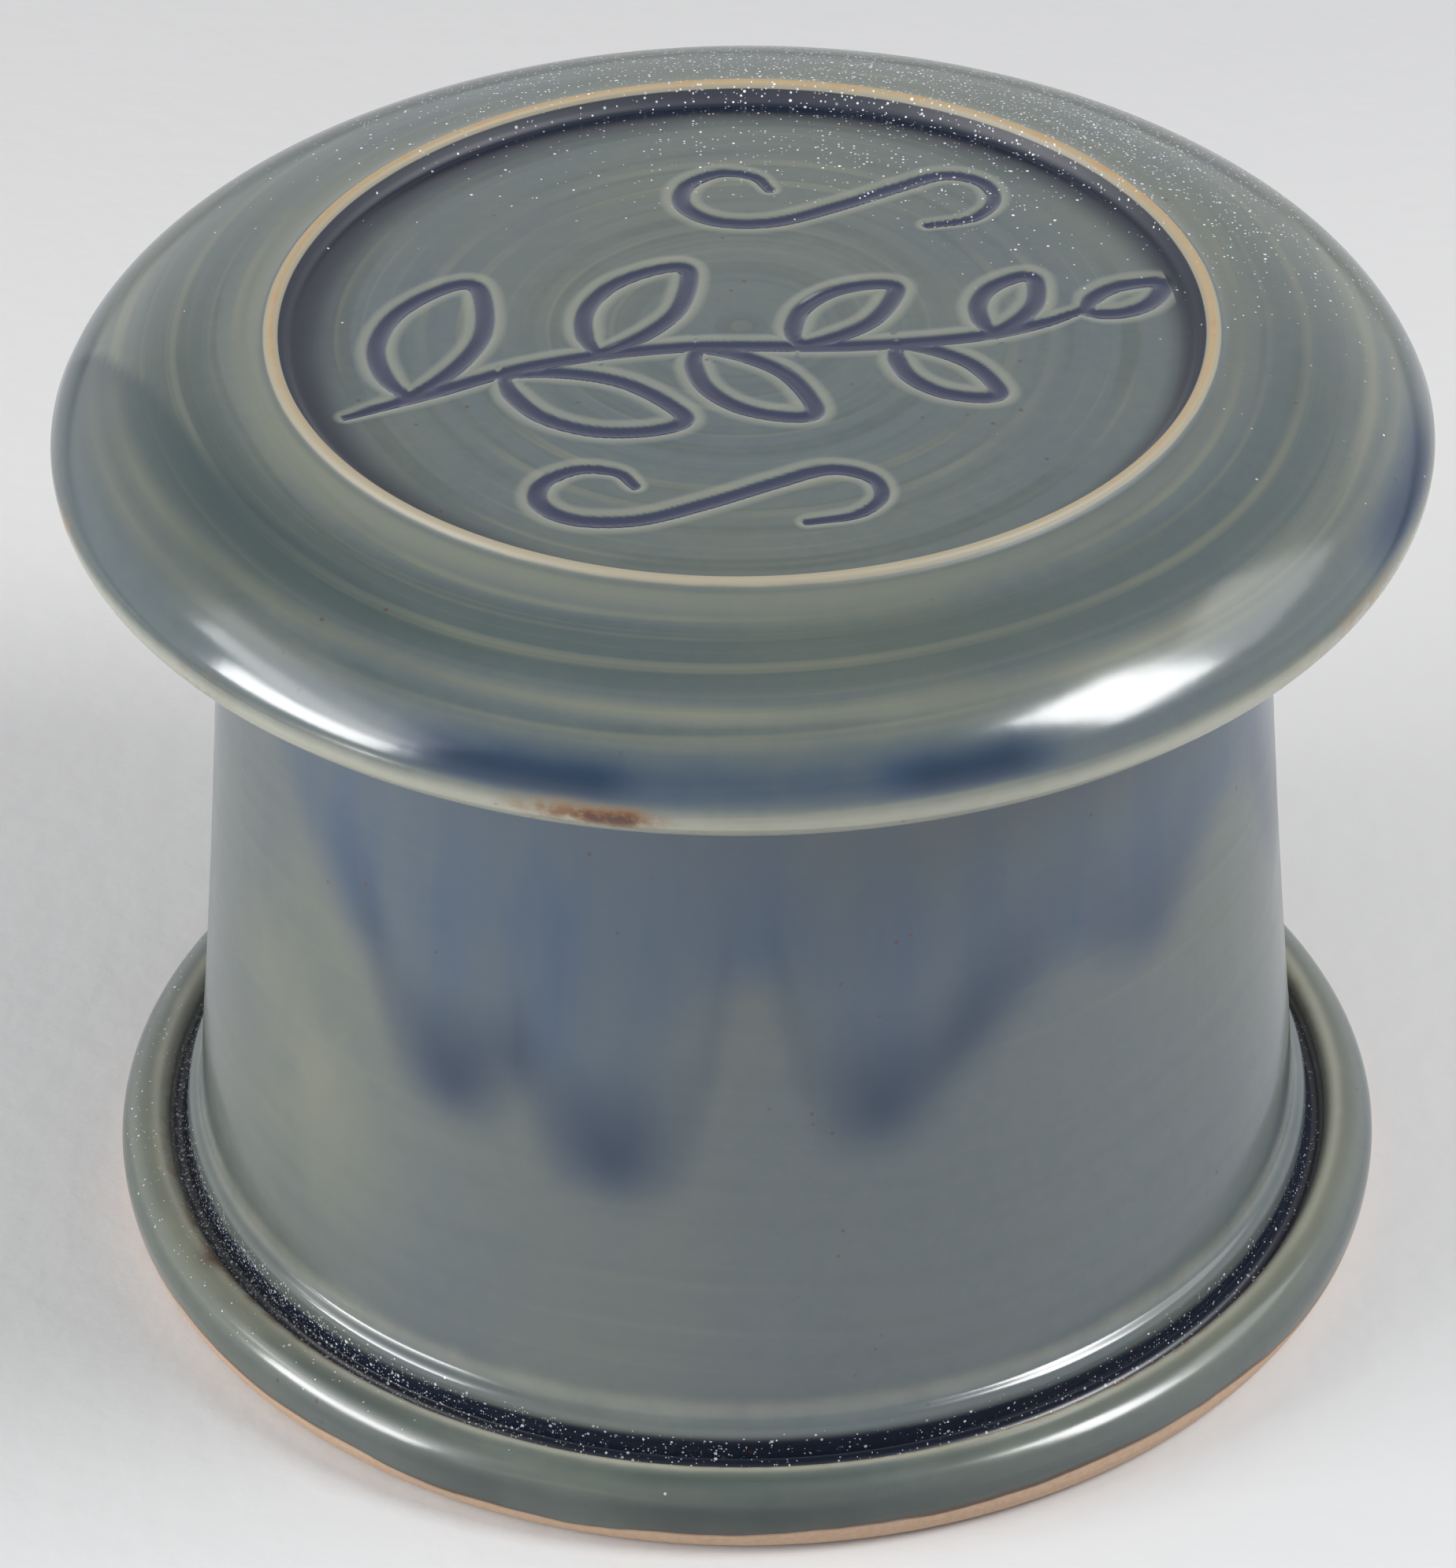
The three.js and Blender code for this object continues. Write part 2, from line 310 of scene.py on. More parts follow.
def cap_outline(sizes):
    """The cap, from the axis on top round the rim and the recess to the bell's ceiling."""
    top = CAP_HIGH.z
    seat = top - sizes.seat_below_top
    groove = top - sizes.medallion_depth
    half = sizes.ring_width / 2
    ring_inner = sizes.ring_radius - half
    ring_foot = sizes.ring_foot
    ring_centre = top - half
    rim = (CAP_HIGH.x, seat - sizes.rim_below_seat)
    lip = sizes.lip_inner_round
    lip_inner = sizes.recess_radius + lip
    lip_outer = lip_inner + sizes.lip_flat
    fillet = sizes.recess_fillet
    recess = sizes.recess_radius - fillet
    ceiling_radius = BELL_HIGH.x - sizes.bell_wall
    ceiling = seat + sizes.ceiling_rise
    floor_edge = (ring_inner - sizes.groove_width, groove)
    medallion = crown(groove + sizes.medallion_crown, floor_edge, 112)
    ring = [
        *line(floor_edge, (ring_inner - ring_foot, groove), 2)[1:],
        *line((ring_inner - ring_foot, groove), (ring_inner, ring_centre), 4)[1:],
        *arc((sizes.ring_radius, ring_centre), (half, half), 180, 0, 14)[1:],
    ]
    side = shoulder((sizes.ring_radius + half + ring_foot, top - sizes.ring_proud), rim, 36)
    on_top = softened(medallion + ring + side, len(medallion) - 3, len(medallion) + len(ring) + 2, 2)
    return on_top + [
        *arc((lip_outer, rim[1]), (rim[0] - lip_outer, rim[1] - CAP_LOW.z), 0, -90, 14)[1:],
        *arc((lip_inner, CAP_LOW.z + lip), (lip, lip), -90, -180, 6),
        *arc((recess, seat - fillet), (fillet, fillet), 0, 90, 6),
        *line((recess - 1 * MM, seat), (ceiling_radius, seat), 4),
        *line((ceiling_radius, ceiling - 1 * MM), (ceiling_radius - 1 * MM, ceiling), 3),
        *line((ceiling_radius - 3 * MM, ceiling), (0, ceiling), 5),
    ]


def bell_outline(sizes):
    """The bell: a tapered tube with a round mouth and slip smoothed into its top corners."""
    top = CAP_HIGH.z - sizes.seat_below_top
    half = sizes.bell_wall / 2
    outer = BELL_HIGH.x
    inner = outer - sizes.bell_wall
    mouth = outer - sizes.bell_taper
    lip = BELL_LOW.z + half
    fillet = sizes.slip_fillet
    loop = [
        *arc((inner - fillet, top + sizes.ceiling_rise - fillet), (fillet, fillet), 88, 0, 6),
        *line((inner, top - fillet), (mouth - 2 * half, lip + 1 * MM), 26),
        *arc((mouth - half, lip), (half, half), 180, 360, 16),
        *line((mouth, lip + 1 * MM), (outer, top - fillet - 0.6 * MM), 30),
        *arc((outer + fillet, top - fillet), (fillet, fillet), 180, 92, 6),
        (outer - half, top + 0.8 * MM),
    ]
    return loop + loop[:1]


# ---------------------------------------------------------------------------
# Ornament lines: a leafy sprig and two scrolls, in the medallion's plane
# ---------------------------------------------------------------------------

# The sprig's stem, in millimetres
STEM = [(-35.5, -14), (-28, -10.5), (-18, -6), (-5, -3.5), (9, -3.5), (20, -2), (27, 0.5), (31, 3)]
STEM_TAPER = (0.10, 0.10)

# One leaf drawn in one stroke, of length 1: along one side, round its tip and back
LEAF = [
    (0.0, 0.0), (0.14, 0.15), (0.38, 0.26), (0.66, 0.25), (0.90, 0.12),
    (1.0, -0.03), (0.84, -0.13), (0.55, -0.19), (0.26, -0.13), (0.04, 0.0),
]  # fmt: skip
LEAF_LENGTH = 20.0

# An S-shaped scroll with a curl at each end, 1 wide and 1 high
SCROLL = [
    (-0.21, 0.16), (-0.26, 0.40), (-0.37, 0.47), (-0.47, 0.24), (-0.48, -0.12), (-0.38, -0.40),
    (-0.20, -0.42), (0.0, -0.14), (0.19, 0.20), (0.34, 0.43), (0.46, 0.30), (0.49, -0.04),
    (0.42, -0.34), (0.28, -0.47),
]  # fmt: skip
SCROLL_TAPER = (0.18, 0.30)

# The two scrolls: middle, width and height in millimetres
SCROLL_PLACES = (((9.0, 23.0), 30.0, 10.5), ((-3.0, -27.5), 31.0, 9.0))


def smooth_path(points, middle=(0, 0), width=1.0, height=1.0, spacing=0.3 * MM):
    """A Catmull-Rom path through a few points in millimetres, in metres at an even spacing."""
    given = (np.array(points, float) * (width, height) + middle) * MM
    ends = np.vstack([2 * given[0] - given[1], given, 2 * given[-1] - given[-2]])
    fine = []
    for a, b, c, d in zip(ends[:-3], ends[1:-2], ends[2:-1], ends[3:]):
        for t in np.linspace(0, 1, 40, endpoint=False):
            bend = (2 * a - 5 * b + 4 * c - d) * t**2 + (3 * b - a - 3 * c + d) * t**3
            fine.append(0.5 * (2 * b + (c - a) * t + bend))
    fine = np.array(fine + [given[-1]])
    run = np.concatenate([[0], np.cumsum(np.linalg.norm(np.diff(fine, axis=0), axis=1))])
    even = np.linspace(0, run[-1], max(2, int(run[-1] / spacing)))
    return np.column_stack([np.interp(even, run, fine[:, k]) for k in (0, 1)])


def line_mesh(name, paths, reach):
    """Paths as one mesh of edges, with each point's half width in the attribute reach."""
    points, edges, widths = [], [], []
    for path, taper in paths:
        start = len(points)
        along = np.linspace(0, 1, len(path))
        ends = np.minimum(along / taper[0], (1 - along) / taper[1])
        widths += list(reach * (0.62 + 0.38 * np.clip(ends, 0, 1)))
        points += [(x, y, 0.0) for x, y in path]
        edges += [(start + i, start + i + 1) for i in range(len(path) - 1)]
    mesh = bpy.data.meshes.new(name)
    mesh.from_pydata(points, edges, [])
    mesh.attributes.new("reach", "FLOAT", "POINT").data.foreach_set("value", widths)
    return mesh


# ---------------------------------------------------------------------------
# Node sheets
# ---------------------------------------------------------------------------


class NodeSheet:
    """Lays nodes out in one tree."""

    def __init__(self, tree):
        self.tree = tree

    def add(self, kind, values=None, **settings):
        """One node with its settings made and its inputs linked or set."""
        node = self.tree.nodes.new(kind)
        for key, value in settings.items():
            setattr(node, key, value)
        for key, value in (values or {}).items():
            if isinstance(value, bpy.types.NodeSocket):
                self.tree.links.new(value, node.inputs[key])
            else:
                node.inputs[key].default_value = value
        return node

    def out(self, kind, values=None, **settings):
        """The first output of one more node."""
        return self.add(kind, values, **settings).outputs[0]

    def math(self, operation, *terms):
        """One step of arithmetic."""
        return self.out("ShaderNodeMath", dict(enumerate(terms)), operation=operation)

    def whole(self, operation, *terms):
        """Arithmetic on whole numbers."""
        return self.out("FunctionNodeIntegerMath", dict(enumerate(terms)), operation=operation)

    def ramp(self, value, low, high, start=0.0, stop=1.0):
        """start at low, stop at high, eased between."""
        values = {"Value": value, "From Min": low, "From Max": high, "To Min": start, "To Max": stop}
        return self.out("ShaderNodeMapRange", values, interpolation_type="SMOOTHSTEP")


class ClaySheet(NodeSheet):
    """A geometry tree with named inputs, given as (name, socket type, default)."""

    def __init__(self, name, inputs):
        tree = bpy.data.node_groups.new(name, "GeometryNodeTree")
        super().__init__(tree)
        tree.is_modifier = True
        tree.interface.new_socket("Geometry", in_out="INPUT", socket_type="NodeSocketGeometry")
        for label, kind, default in inputs:
            socket = tree.interface.new_socket(label, in_out="INPUT", socket_type="NodeSocket" + kind)
            if default is not None:
                socket.default_value = default
        tree.interface.new_socket("Geometry", in_out="OUTPUT", socket_type="NodeSocketGeometry")
        self.given = self.add("NodeGroupInput").outputs

    def held(self, name):
        """A value held on the points."""
        values = {"Name": name}
        return self.add("GeometryNodeInputNamedAttribute", values, data_type="FLOAT").outputs["Attribute"]

    def sample(self, geometry, value, index, kind="FLOAT"):
        """A value at one point of another geometry."""
        values = {"Geometry": geometry, "Value": value, "Index": index}
        return self.out("GeometryNodeSampleIndex", values, data_type=kind, domain="POINT")

    def store(self, geometry, name, value):
        """The geometry with one more value held on its points."""
        values = {"Geometry": geometry, "Name": name, "Value": value}
        return self.out("GeometryNodeStoreNamedAttribute", values, data_type="FLOAT", domain="POINT")

    def noise(self, place, scale):
        """Soft lumps through the clay."""
        return self.out("ShaderNodeTexNoise", {"Vector": place, "Scale": scale, "Detail": 1.0})

    def close(self, geometry, material):
        """Ends the tree in Realize Instances and Set Material."""
        real = self.out("GeometryNodeRealizeInstances", {"Geometry": geometry})
        dressed = self.out("GeometryNodeSetMaterial", {"Geometry": real, "Material": material})
        self.add("NodeGroupOutput", {"Geometry": dressed})
        return self.tree


class GlazeSheet(NodeSheet):
    """A material's tree, with the point's place in Object coordinates."""

    def __init__(self, name):
        self.material = bpy.data.materials.new(name)
        self.material.use_nodes = True
        super().__init__(self.material.node_tree)
        self.tree.nodes.clear()
        self.place = self.add("ShaderNodeTexCoord").outputs["Object"]

    def held(self, name):
        """A glaze value held on the points."""
        return self.add("ShaderNodeAttribute", attribute_name=name).outputs["Fac"]

    def noise(self, scale, detail=2.0, roughness=0.5, distortion=0.0):
        """Cloudy variation through the piece, with so many features to a metre."""
        values = {"Vector": self.place, "Scale": scale, "Detail": detail}
        values |= {"Roughness": roughness, "Distortion": distortion}
        return self.out("ShaderNodeTexNoise", values)

    def ragged(self, scale, detail, roughness, amount):
        """Noise about nought, to fray an edge."""
        noise = self.noise(scale, detail, roughness)
        return self.math("MULTIPLY", self.math("SUBTRACT", noise, 0.5), amount)

    def streaks(self, wander, scale):
        """Bands that follow the throwing marks, a little unsteady."""
        drift = self.math("MULTIPLY", self.noise(14.0, 1.0), wander)
        along = self.math("ADD", self.held("thrown"), drift)
        values = {"W": along, "Scale": scale, "Detail": 2.0, "Roughness": 0.5}
        return self.out("ShaderNodeTexNoise", values, noise_dimensions="1D")

    def cells(self, scale):
        """Scattered places, each with its own colour, for spots and specks."""
        values = {"Vector": self.place, "Scale": scale, "Randomness": 1.0}
        return self.add("ShaderNodeTexVoronoi", values).outputs

    def lay(self, under, upper, *factors):
        """One colour laid over another, by the product of held values, node values and numbers."""
        values = [self.held(factor) if isinstance(factor, str) else factor for factor in factors]
        amount = values[0]
        for value in values[1:]:
            amount = self.math("MULTIPLY", amount, value)
        mix = self.add("ShaderNodeMix", data_type="RGBA", clamp_factor=True)
        for index, value in ((0, amount), (6, under), (7, upper)):
            if isinstance(value, bpy.types.NodeSocket):
                self.tree.links.new(value, mix.inputs[index])
            else:
                mix.inputs[index].default_value = (*value, 1.0) if index else value
        return mix.outputs[2]

    def close(self, values):
        """Ends the material in one glossy or matt surface."""
        shader = self.out("ShaderNodeBsdfPrincipled", values)
        self.add("ShaderNodeOutputMaterial", {"Surface": shader})
        return self.material


# ---------------------------------------------------------------------------
# Geometry Nodes
# ---------------------------------------------------------------------------

MERGE_DISTANCE = 2e-6

THROWN_INPUTS = (
    ("Facets", "Int", 256),
    ("Ridge height", "Float", 0.00005),
    ("Ridge scale", "Float", 400.0),
    ("Unevenness", "Float", 0.00012),
    ("Seed", "Float", 0.0),
    ("Clay", "Material", None),
)
SPRIG_INPUTS = (
    ("Leaf", "Object", None),
    ("Leaves", "Int", 9),
    ("Spread", "Float", 0.9),
    ("Start", "Float", 0.1),
    ("Tip size", "Float", 0.6),
    ("Line", "Material", None),
)
INCISED_INPUTS = (
    ("Lines", "Object", None),
    ("Cut depth", "Float", 0.0005),
    ("Burr height", "Float", 0.00008),
    ("Reach", "Float", 0.041),
    ("Lowest", "Float", 0.09),
    ("Clay", "Material", None),
)


def thrown_tree():
    """Turns an outline of edges about +Z, and leaves a potter's soft ridges on it."""
    sheet = ClaySheet("Thrown clay", THROWN_INPUTS)
    given = sheet.given
    outline = given["Geometry"]
    count = sheet.out("GeometryNodeAttributeDomainSize", {"Geometry": outline})
    columns = sheet.whole("ADD", given["Facets"], 1)
    grid = sheet.out("GeometryNodeMeshGrid", {"Vertices X": columns, "Vertices Y": count})
    index = sheet.out("GeometryNodeInputIndex")
    row = sheet.whole("MODULO", index, count)
    step = sheet.math("DIVIDE", math.tau, given["Facets"])
    turn = sheet.math("MULTIPLY", sheet.whole("DIVIDE_FLOOR", index, count), step)
    place = sheet.out("GeometryNodeInputPosition")
    point = sheet.sample(outline, place, row, "FLOAT_VECTOR")
    turned = sheet.out("ShaderNodeVectorRotate", {"Vector": point, "Angle": turn}, rotation_type="Z_AXIS")
    shaped = sheet.out("GeometryNodeSetPosition", {"Geometry": grid, "Position": turned})
    for name in ("thrown", "ridged"):
        shaped = sheet.store(shaped, name, sheet.sample(outline, sheet.held(name), row))
    values = {"Geometry": shaped, "Distance": MERGE_DISTANCE}
    merged = sheet.out("GeometryNodeMergeByDistance", values)
    drift = sheet.math("MULTIPLY", sheet.noise(place, 22.0), 0.006)
    phase = sheet.math("ADD", sheet.math("ADD", sheet.held("thrown"), drift), given["Seed"])
    values = {"W": phase, "Scale": given["Ridge scale"], "Detail": 2.0, "Roughness": 0.55}
    ridges = sheet.out("ShaderNodeTexNoise", values, noise_dimensions="1D")
    uneven = sheet.math("MULTIPLY", sheet.noise(place, 24.0), given["Unevenness"])
    cut = sheet.math("MULTIPLY_ADD", ridges, given["Ridge height"], uneven)
    depth = sheet.math("MULTIPLY", cut, sheet.held("ridged"))
    values = {0: sheet.out("GeometryNodeInputNormal"), "Scale": depth}
    push = sheet.out("ShaderNodeVectorMath", values, operation="SCALE")
    ridged = sheet.out("GeometryNodeSetPosition", {"Geometry": merged, "Offset": push})
    return sheet.close(sheet.out("GeometryNodeSetShadeSmooth", {"Geometry": ridged}), given["Clay"])


def sprig_tree():
    """Sets leaves along a stem, left and right by turns, smaller towards the tip."""
    sheet = ClaySheet("Leafy sprig", SPRIG_INPUTS)
    given = sheet.given
    stem = sheet.out("GeometryNodeMeshToCurve", {"Mesh": given["Geometry"]})
    leafy = sheet.out("GeometryNodeTrimCurve", {"Curve": stem, "Start": given["Start"]})
    values = {"Curve": leafy, "Count": given["Leaves"]}
    spots = sheet.add("GeometryNodeCurveToPoints", values, mode="COUNT").outputs
    index = sheet.out("GeometryNodeInputIndex")
    side = sheet.ramp(sheet.whole("MODULO", index, 2), 0.0, 1.0, 1.0, -1.0)
    share = sheet.math("DIVIDE", index, sheet.whole("SUBTRACT", given["Leaves"], 1))
    values = {"Value": share, "To Min": 1.0, "To Max": given["Tip size"]}
    size = sheet.out("ShaderNodeMapRange", values)
    parts = sheet.add("ShaderNodeSeparateXYZ", {0: spots["Tangent"]}).outputs
    heading = sheet.math("ARCTAN2", parts[1], parts[0])
    before_tip = sheet.math("LESS_THAN", share, 0.99)
    opened = sheet.math("MULTIPLY", sheet.math("MULTIPLY", side, given["Spread"]), before_tip)
    rotation = sheet.out("ShaderNodeCombineXYZ", {2: sheet.math("ADD", heading, opened)})
    flipped = sheet.math("MULTIPLY", size, side)
    scale = sheet.out("ShaderNodeCombineXYZ", {0: size, 1: flipped, 2: 1.0})
    leaf = sheet.add("GeometryNodeObjectInfo", {"Object": given["Leaf"]}).outputs["Geometry"]
    values = {"Points": spots["Points"], "Instance": leaf, "Rotation": rotation, "Scale": scale}
    leaves = sheet.out("GeometryNodeInstanceOnPoints", values)
    joined = sheet.add("GeometryNodeJoinGeometry")
    for geometry in (leaves, given["Geometry"]):
        sheet.tree.links.new(geometry, joined.inputs[0])
    return sheet.close(joined.outputs[0], given["Line"])


def incised_tree():
    """Cuts the ornament's lines into a flat top, and raises a little burr beside them."""
    sheet = ClaySheet("Incised lines", INCISED_INPUTS)
    given = sheet.given
    lines = sheet.add("GeometryNodeObjectInfo", {"Object": given["Lines"]}).outputs["Geometry"]
    place = sheet.out("GeometryNodeInputPosition")
    flat = sheet.out("ShaderNodeVectorMath", {0: place, 1: (1, 1, 0)}, operation="MULTIPLY")
    values = {0: lines, "Source Position": flat}
    near_edge = sheet.add("GeometryNodeProximity", values, target_element="EDGES")
    values = {"Geometry": lines, "Sample Position": flat}
    nearest = sheet.out("GeometryNodeSampleNearest", values, domain="POINT")
    half_width = sheet.sample(lines, sheet.held("reach"), nearest)
    times = sheet.math("DIVIDE", near_edge.outputs["Distance"], half_width)
    ratio = sheet.math("MULTIPLY", times, times)
    away = sheet.add("ShaderNodeVectorMath", {0: flat}, operation="LENGTH").outputs["Value"]
    height = sheet.add("ShaderNodeSeparateXYZ", {0: place}).outputs[2]
    near = sheet.math("LESS_THAN", away, given["Reach"])
    high = sheet.math("GREATER_THAN", height, given["Lowest"])
    elsewhere = sheet.math("SUBTRACT", 1.0, sheet.math("MULTIPLY", near, high))
    apart = sheet.math("MULTIPLY_ADD", elsewhere, 60.0, ratio)
    stored = sheet.store(given["Geometry"], "stroke", apart)
    cut = sheet.ramp(apart, 0.25, 1.5, 1.0, 0.0)
    burr = sheet.math("MULTIPLY", sheet.ramp(apart, 1.0, 2.4), sheet.ramp(apart, 2.4, 6.5, 1.0, 0.0))
    raised = sheet.math("MULTIPLY", burr, given["Burr height"])
    sunk = sheet.math("MULTIPLY", cut, given["Cut depth"])
    offset = sheet.out("ShaderNodeCombineXYZ", {2: sheet.math("SUBTRACT", raised, sunk)})
    carved = sheet.out("GeometryNodeSetPosition", {"Geometry": stored, "Offset": offset})
    return sheet.close(carved, given["Clay"])


def add_modifier(thing, tree, values):
    """A Geometry Nodes modifier whose inputs are set by the sockets' identifiers."""
    modifier = thing.modifiers.new(tree.name, "NODES")
    modifier.node_group = tree
    for item in tree.interface.items_tree:
        if item.item_type == "SOCKET" and item.in_out == "INPUT" and item.name in values:
            modifier[item.identifier] = values[item.name]


def plain_mesh(thing, name):
    """The evaluated object as a plain mesh, with the modifiers and the helper removed."""
    bpy.context.view_layer.update()
    graph = bpy.context.evaluated_depsgraph_get()
    mesh = bpy.data.meshes.new_from_object(thing.evaluated_get(graph), depsgraph=graph)
    mesh.name = name
    bpy.data.objects.remove(thing)
    return mesh


def link(name, data):
    """A new object in the scene."""
    thing = bpy.data.objects.new(name, data)
    bpy.context.scene.collection.objects.link(thing)
    return thing


def outline_mesh(name, points, ridged):
    """An outline as a mesh of edges in the XZ plane, with its run length and how far it is ridged."""
    mesh = bpy.data.meshes.new(name)
    mesh.from_pydata([(r, 0.0, z) for r, z in points], [(i, i + 1) for i in range(len(points) - 1)], [])
    steps = np.linalg.norm(np.diff(np.array(points), axis=0), axis=1)
    held = {"thrown": np.concatenate([[0], np.cumsum(steps)]), "ridged": [ridged(r, z) for r, z in points]}
    for key, values in held.items():
        mesh.attributes.new(key, "FLOAT", "POINT").data.foreach_set("value", values)
    return mesh


def face_outwards(mesh):
    """Closes the seam and the poles, and points every face out."""
    shell = bmesh.new()
    shell.from_mesh(mesh)
    bmesh.ops.remove_doubles(shell, verts=shell.verts, dist=MERGE_DISTANCE)
    bmesh.ops.dissolve_degenerate(shell, dist=1e-7, edges=shell.edges)
    bmesh.ops.recalc_face_normals(shell, faces=shell.faces)
    if shell.calc_volume(signed=True) < 0:
        bmesh.ops.reverse_faces(shell, faces=shell.faces)
    open_edges = sum(not edge.is_manifold for edge in shell.edges)
    if open_edges:
        raise RuntimeError(f"{mesh.name} has {open_edges} open edges")
    shell.to_mesh(mesh)
    shell.free()


# ---------------------------------------------------------------------------
# Where the glaze pools, breaks and runs: values held on each point
# ---------------------------------------------------------------------------


def eased(value, low, high):
    """0 at low, 1 at high, eased between."""
    t = np.clip((value - low) / (high - low), 0, 1)
    return t * t * (3 - 2 * t)


def hump(value, middle, half):
    """1 in the middle, falling away like a bell."""
    return np.exp(-(((value - middle) / half) ** 2))


class Skin:
    """A mesh's points in millimetres, and in degrees from the front and to the right."""

    def __init__(self, mesh):
        places = np.empty(len(mesh.vertices) * 3, np.float32)
        mesh.vertices.foreach_get("co", places)
        x, y, z = places.reshape(-1, 3).T / MM
        self.mesh = mesh
        self.radius = np.hypot(x, y)
        self.height = z
        self.bearing = np.degrees(np.arctan2(x, -y))

    def apart(self, middle):
        """Degrees round from a bearing."""
        return (self.bearing - middle + 180) % 360 - 180

    def between(self, start, stop, soft):
        """1 between two bearings, with soft ends."""
        half = (stop - start) / 2
        return 1 - eased(np.abs(self.apart((start + stop) / 2)), half - soft, half + soft)

    def near(self, *places):
        """1 at each bearing, falling away like a bell, for places given as (middle, half)."""
        return sum(hump(self.apart(middle), 0, half) for middle, half in places)

    def ring(self, middle, half):
        """1 at a radius, falling away like a bell."""
        return hump(self.radius, middle, half)

    def level(self, middle, half):
        """1 at a height, falling away like a bell."""
        return hump(self.height, middle, half)

    def out(self, low, high):
        """0 within one radius, 1 beyond another."""
        return eased(self.radius, low, high)

    def up(self, low, high):
        """0 under one height, 1 over another."""
        return eased(self.height, low, high)

    def wave(self, turns, shift=0.0):
        """A wave with so many turns round the piece."""
        return np.sin(np.radians(self.bearing * turns + shift))

    def hold(self, **values):
        """Keeps glaze values on the points, by name."""
        for name, value in values.items():
            kept = self.mesh.attributes.get(name) or self.mesh.attributes.new(name, "FLOAT", "POINT")
            kept.data.foreach_set("value", np.clip(value, 0, 1).astype(np.float32))


# The lower edge of the cobalt round the wall: bearings from the front, and heights
COBALT_EDGE = (
    (-180, 58), (-176, 50), (-172, 41), (-167, 37), (-162, 40), (-158, 53), (-150, 60), (-141, 57),
    (-135, 46), (-130, 44), (-125, 50), (-119, 60), (-112, 47), (-107, 38), (-102, 41), (-97, 54),
    (-89, 64), (-80, 70), (-70, 71), (-62, 68), (-52, 60), (-47, 54), (-41, 51), (-38, 45),
    (-35.5, 39), (-32, 37.5), (-28, 38), (-25.5, 45), (-22, 46), (-19.5, 38), (-17, 34), (-13, 33),
    (-9.5, 34), (-7, 42), (-5, 54), (-1, 58), (3, 58), (6.5, 53), (8.5, 44), (10, 39.5), (13, 38),
    (16.5, 39.5), (19.5, 44), (25, 47), (30, 51), (35, 53), (40, 52), (44, 49), (48, 48), (52, 51),
    (58, 58), (65, 59), (72, 54), (78, 43), (83, 41), (88, 45), (93, 56), (104, 58), (110, 50),
    (114, 48), (119, 55), (124, 42), (129, 37), (134, 41), (139, 54), (148, 58), (155, 47),
    (161, 43), (166, 48), (172, 57), (180, 58),
)  # fmt: skip

# The second dip's edge on the cap's left shoulder: bearings from the front, and radii
DIP_EDGE = (
    (-104, 66), (-96, 62.5), (-92, 58.5), (-83, 54), (-76, 52.5), (-68, 51.5), (-54, 51), (-40, 51.5),
    (-30, 53), (-15, 57), (0, 62),
)  # fmt: skip

# Where the dark pool of the trough is narrow, and where its white specks, partly painted glints of light,
# are thickest: middle and half width
SPARED = ((-58, 34), (62, 38))
GLINTS_THICKEST = (-78, 44)


def cobalt_runs(skin):
    """How much cobalt lies on the wall, and how deep it is where a run has gathered."""
    turn = np.arange(-180, 180, 0.5)
    drawn = np.interp(turn, *np.array(COBALT_EDGE).T)
    weights = hump(np.arange(-8, 8.5, 0.5), 0, 1.5)
    around = np.concatenate([drawn[-16:], drawn, drawn[:16]])
    edge_curve = np.convolve(around, weights / weights.sum(), "valid")
    sideways = (-3.6, -2.4, -1.2, 0.0, 1.2, 2.4, 3.6)
    edges = [np.interp(skin.bearing + aside, turn, edge_curve, period=360) for aside in sideways]
    body = sum(eased(skin.height - edge, -2.8, 4.2) for edge in edges) / len(edges)
    tip = np.min(edges, axis=0)
    fade = 1 - 0.55 * skin.up(60, 80)
    deep = eased(56 - tip, 0, 14) * body * (1 - eased(skin.height - tip, 4, 17))
    return body * fade * (0.86 + 0.07 * (skin.wave(13, 20) + skin.wave(31))), deep


def glaze_crock(mesh):
    """Values for the crock's wall and ledge."""
    skin = Skin(mesh)
    outside = skin.out(47.0, 47.6)
    band, deep = cobalt_runs(skin)
    left_patch = skin.near((-53, 16)) * skin.level(38, 20)
    right_patch = skin.near((118, 18)) * skin.level(30, 15)
    skirt = skin.level(11.2, 1.5) * (1 - skin.out(54.6, 55.0))
    step = 1 - eased(skin.height + 0.8 * skin.near(*SPARED), 8.3, 9.35)
    well = skin.level(9.3, 2.5) * (1 - skin.out(42, 47)) * 0.35
    skin.hold(
        cobalt=band * outside,
        gathered=deep * outside,
        olive=np.maximum(left_patch, 0.8 * right_patch) * outside,
        broken=np.maximum(0.75 * skin.level(86.0, 1.2), 0.36 * skirt),
        pooled=np.maximum(step * outside, well),
        bare=1 - skin.up(3.6, 4.4),
        # White specks on the ledge and in the trough, partly painted glints, thickest on the left
        dusty=(0.18 + skin.near(GLINTS_THICKEST)) * (1 - skin.up(8.0, 9.6)),
    )


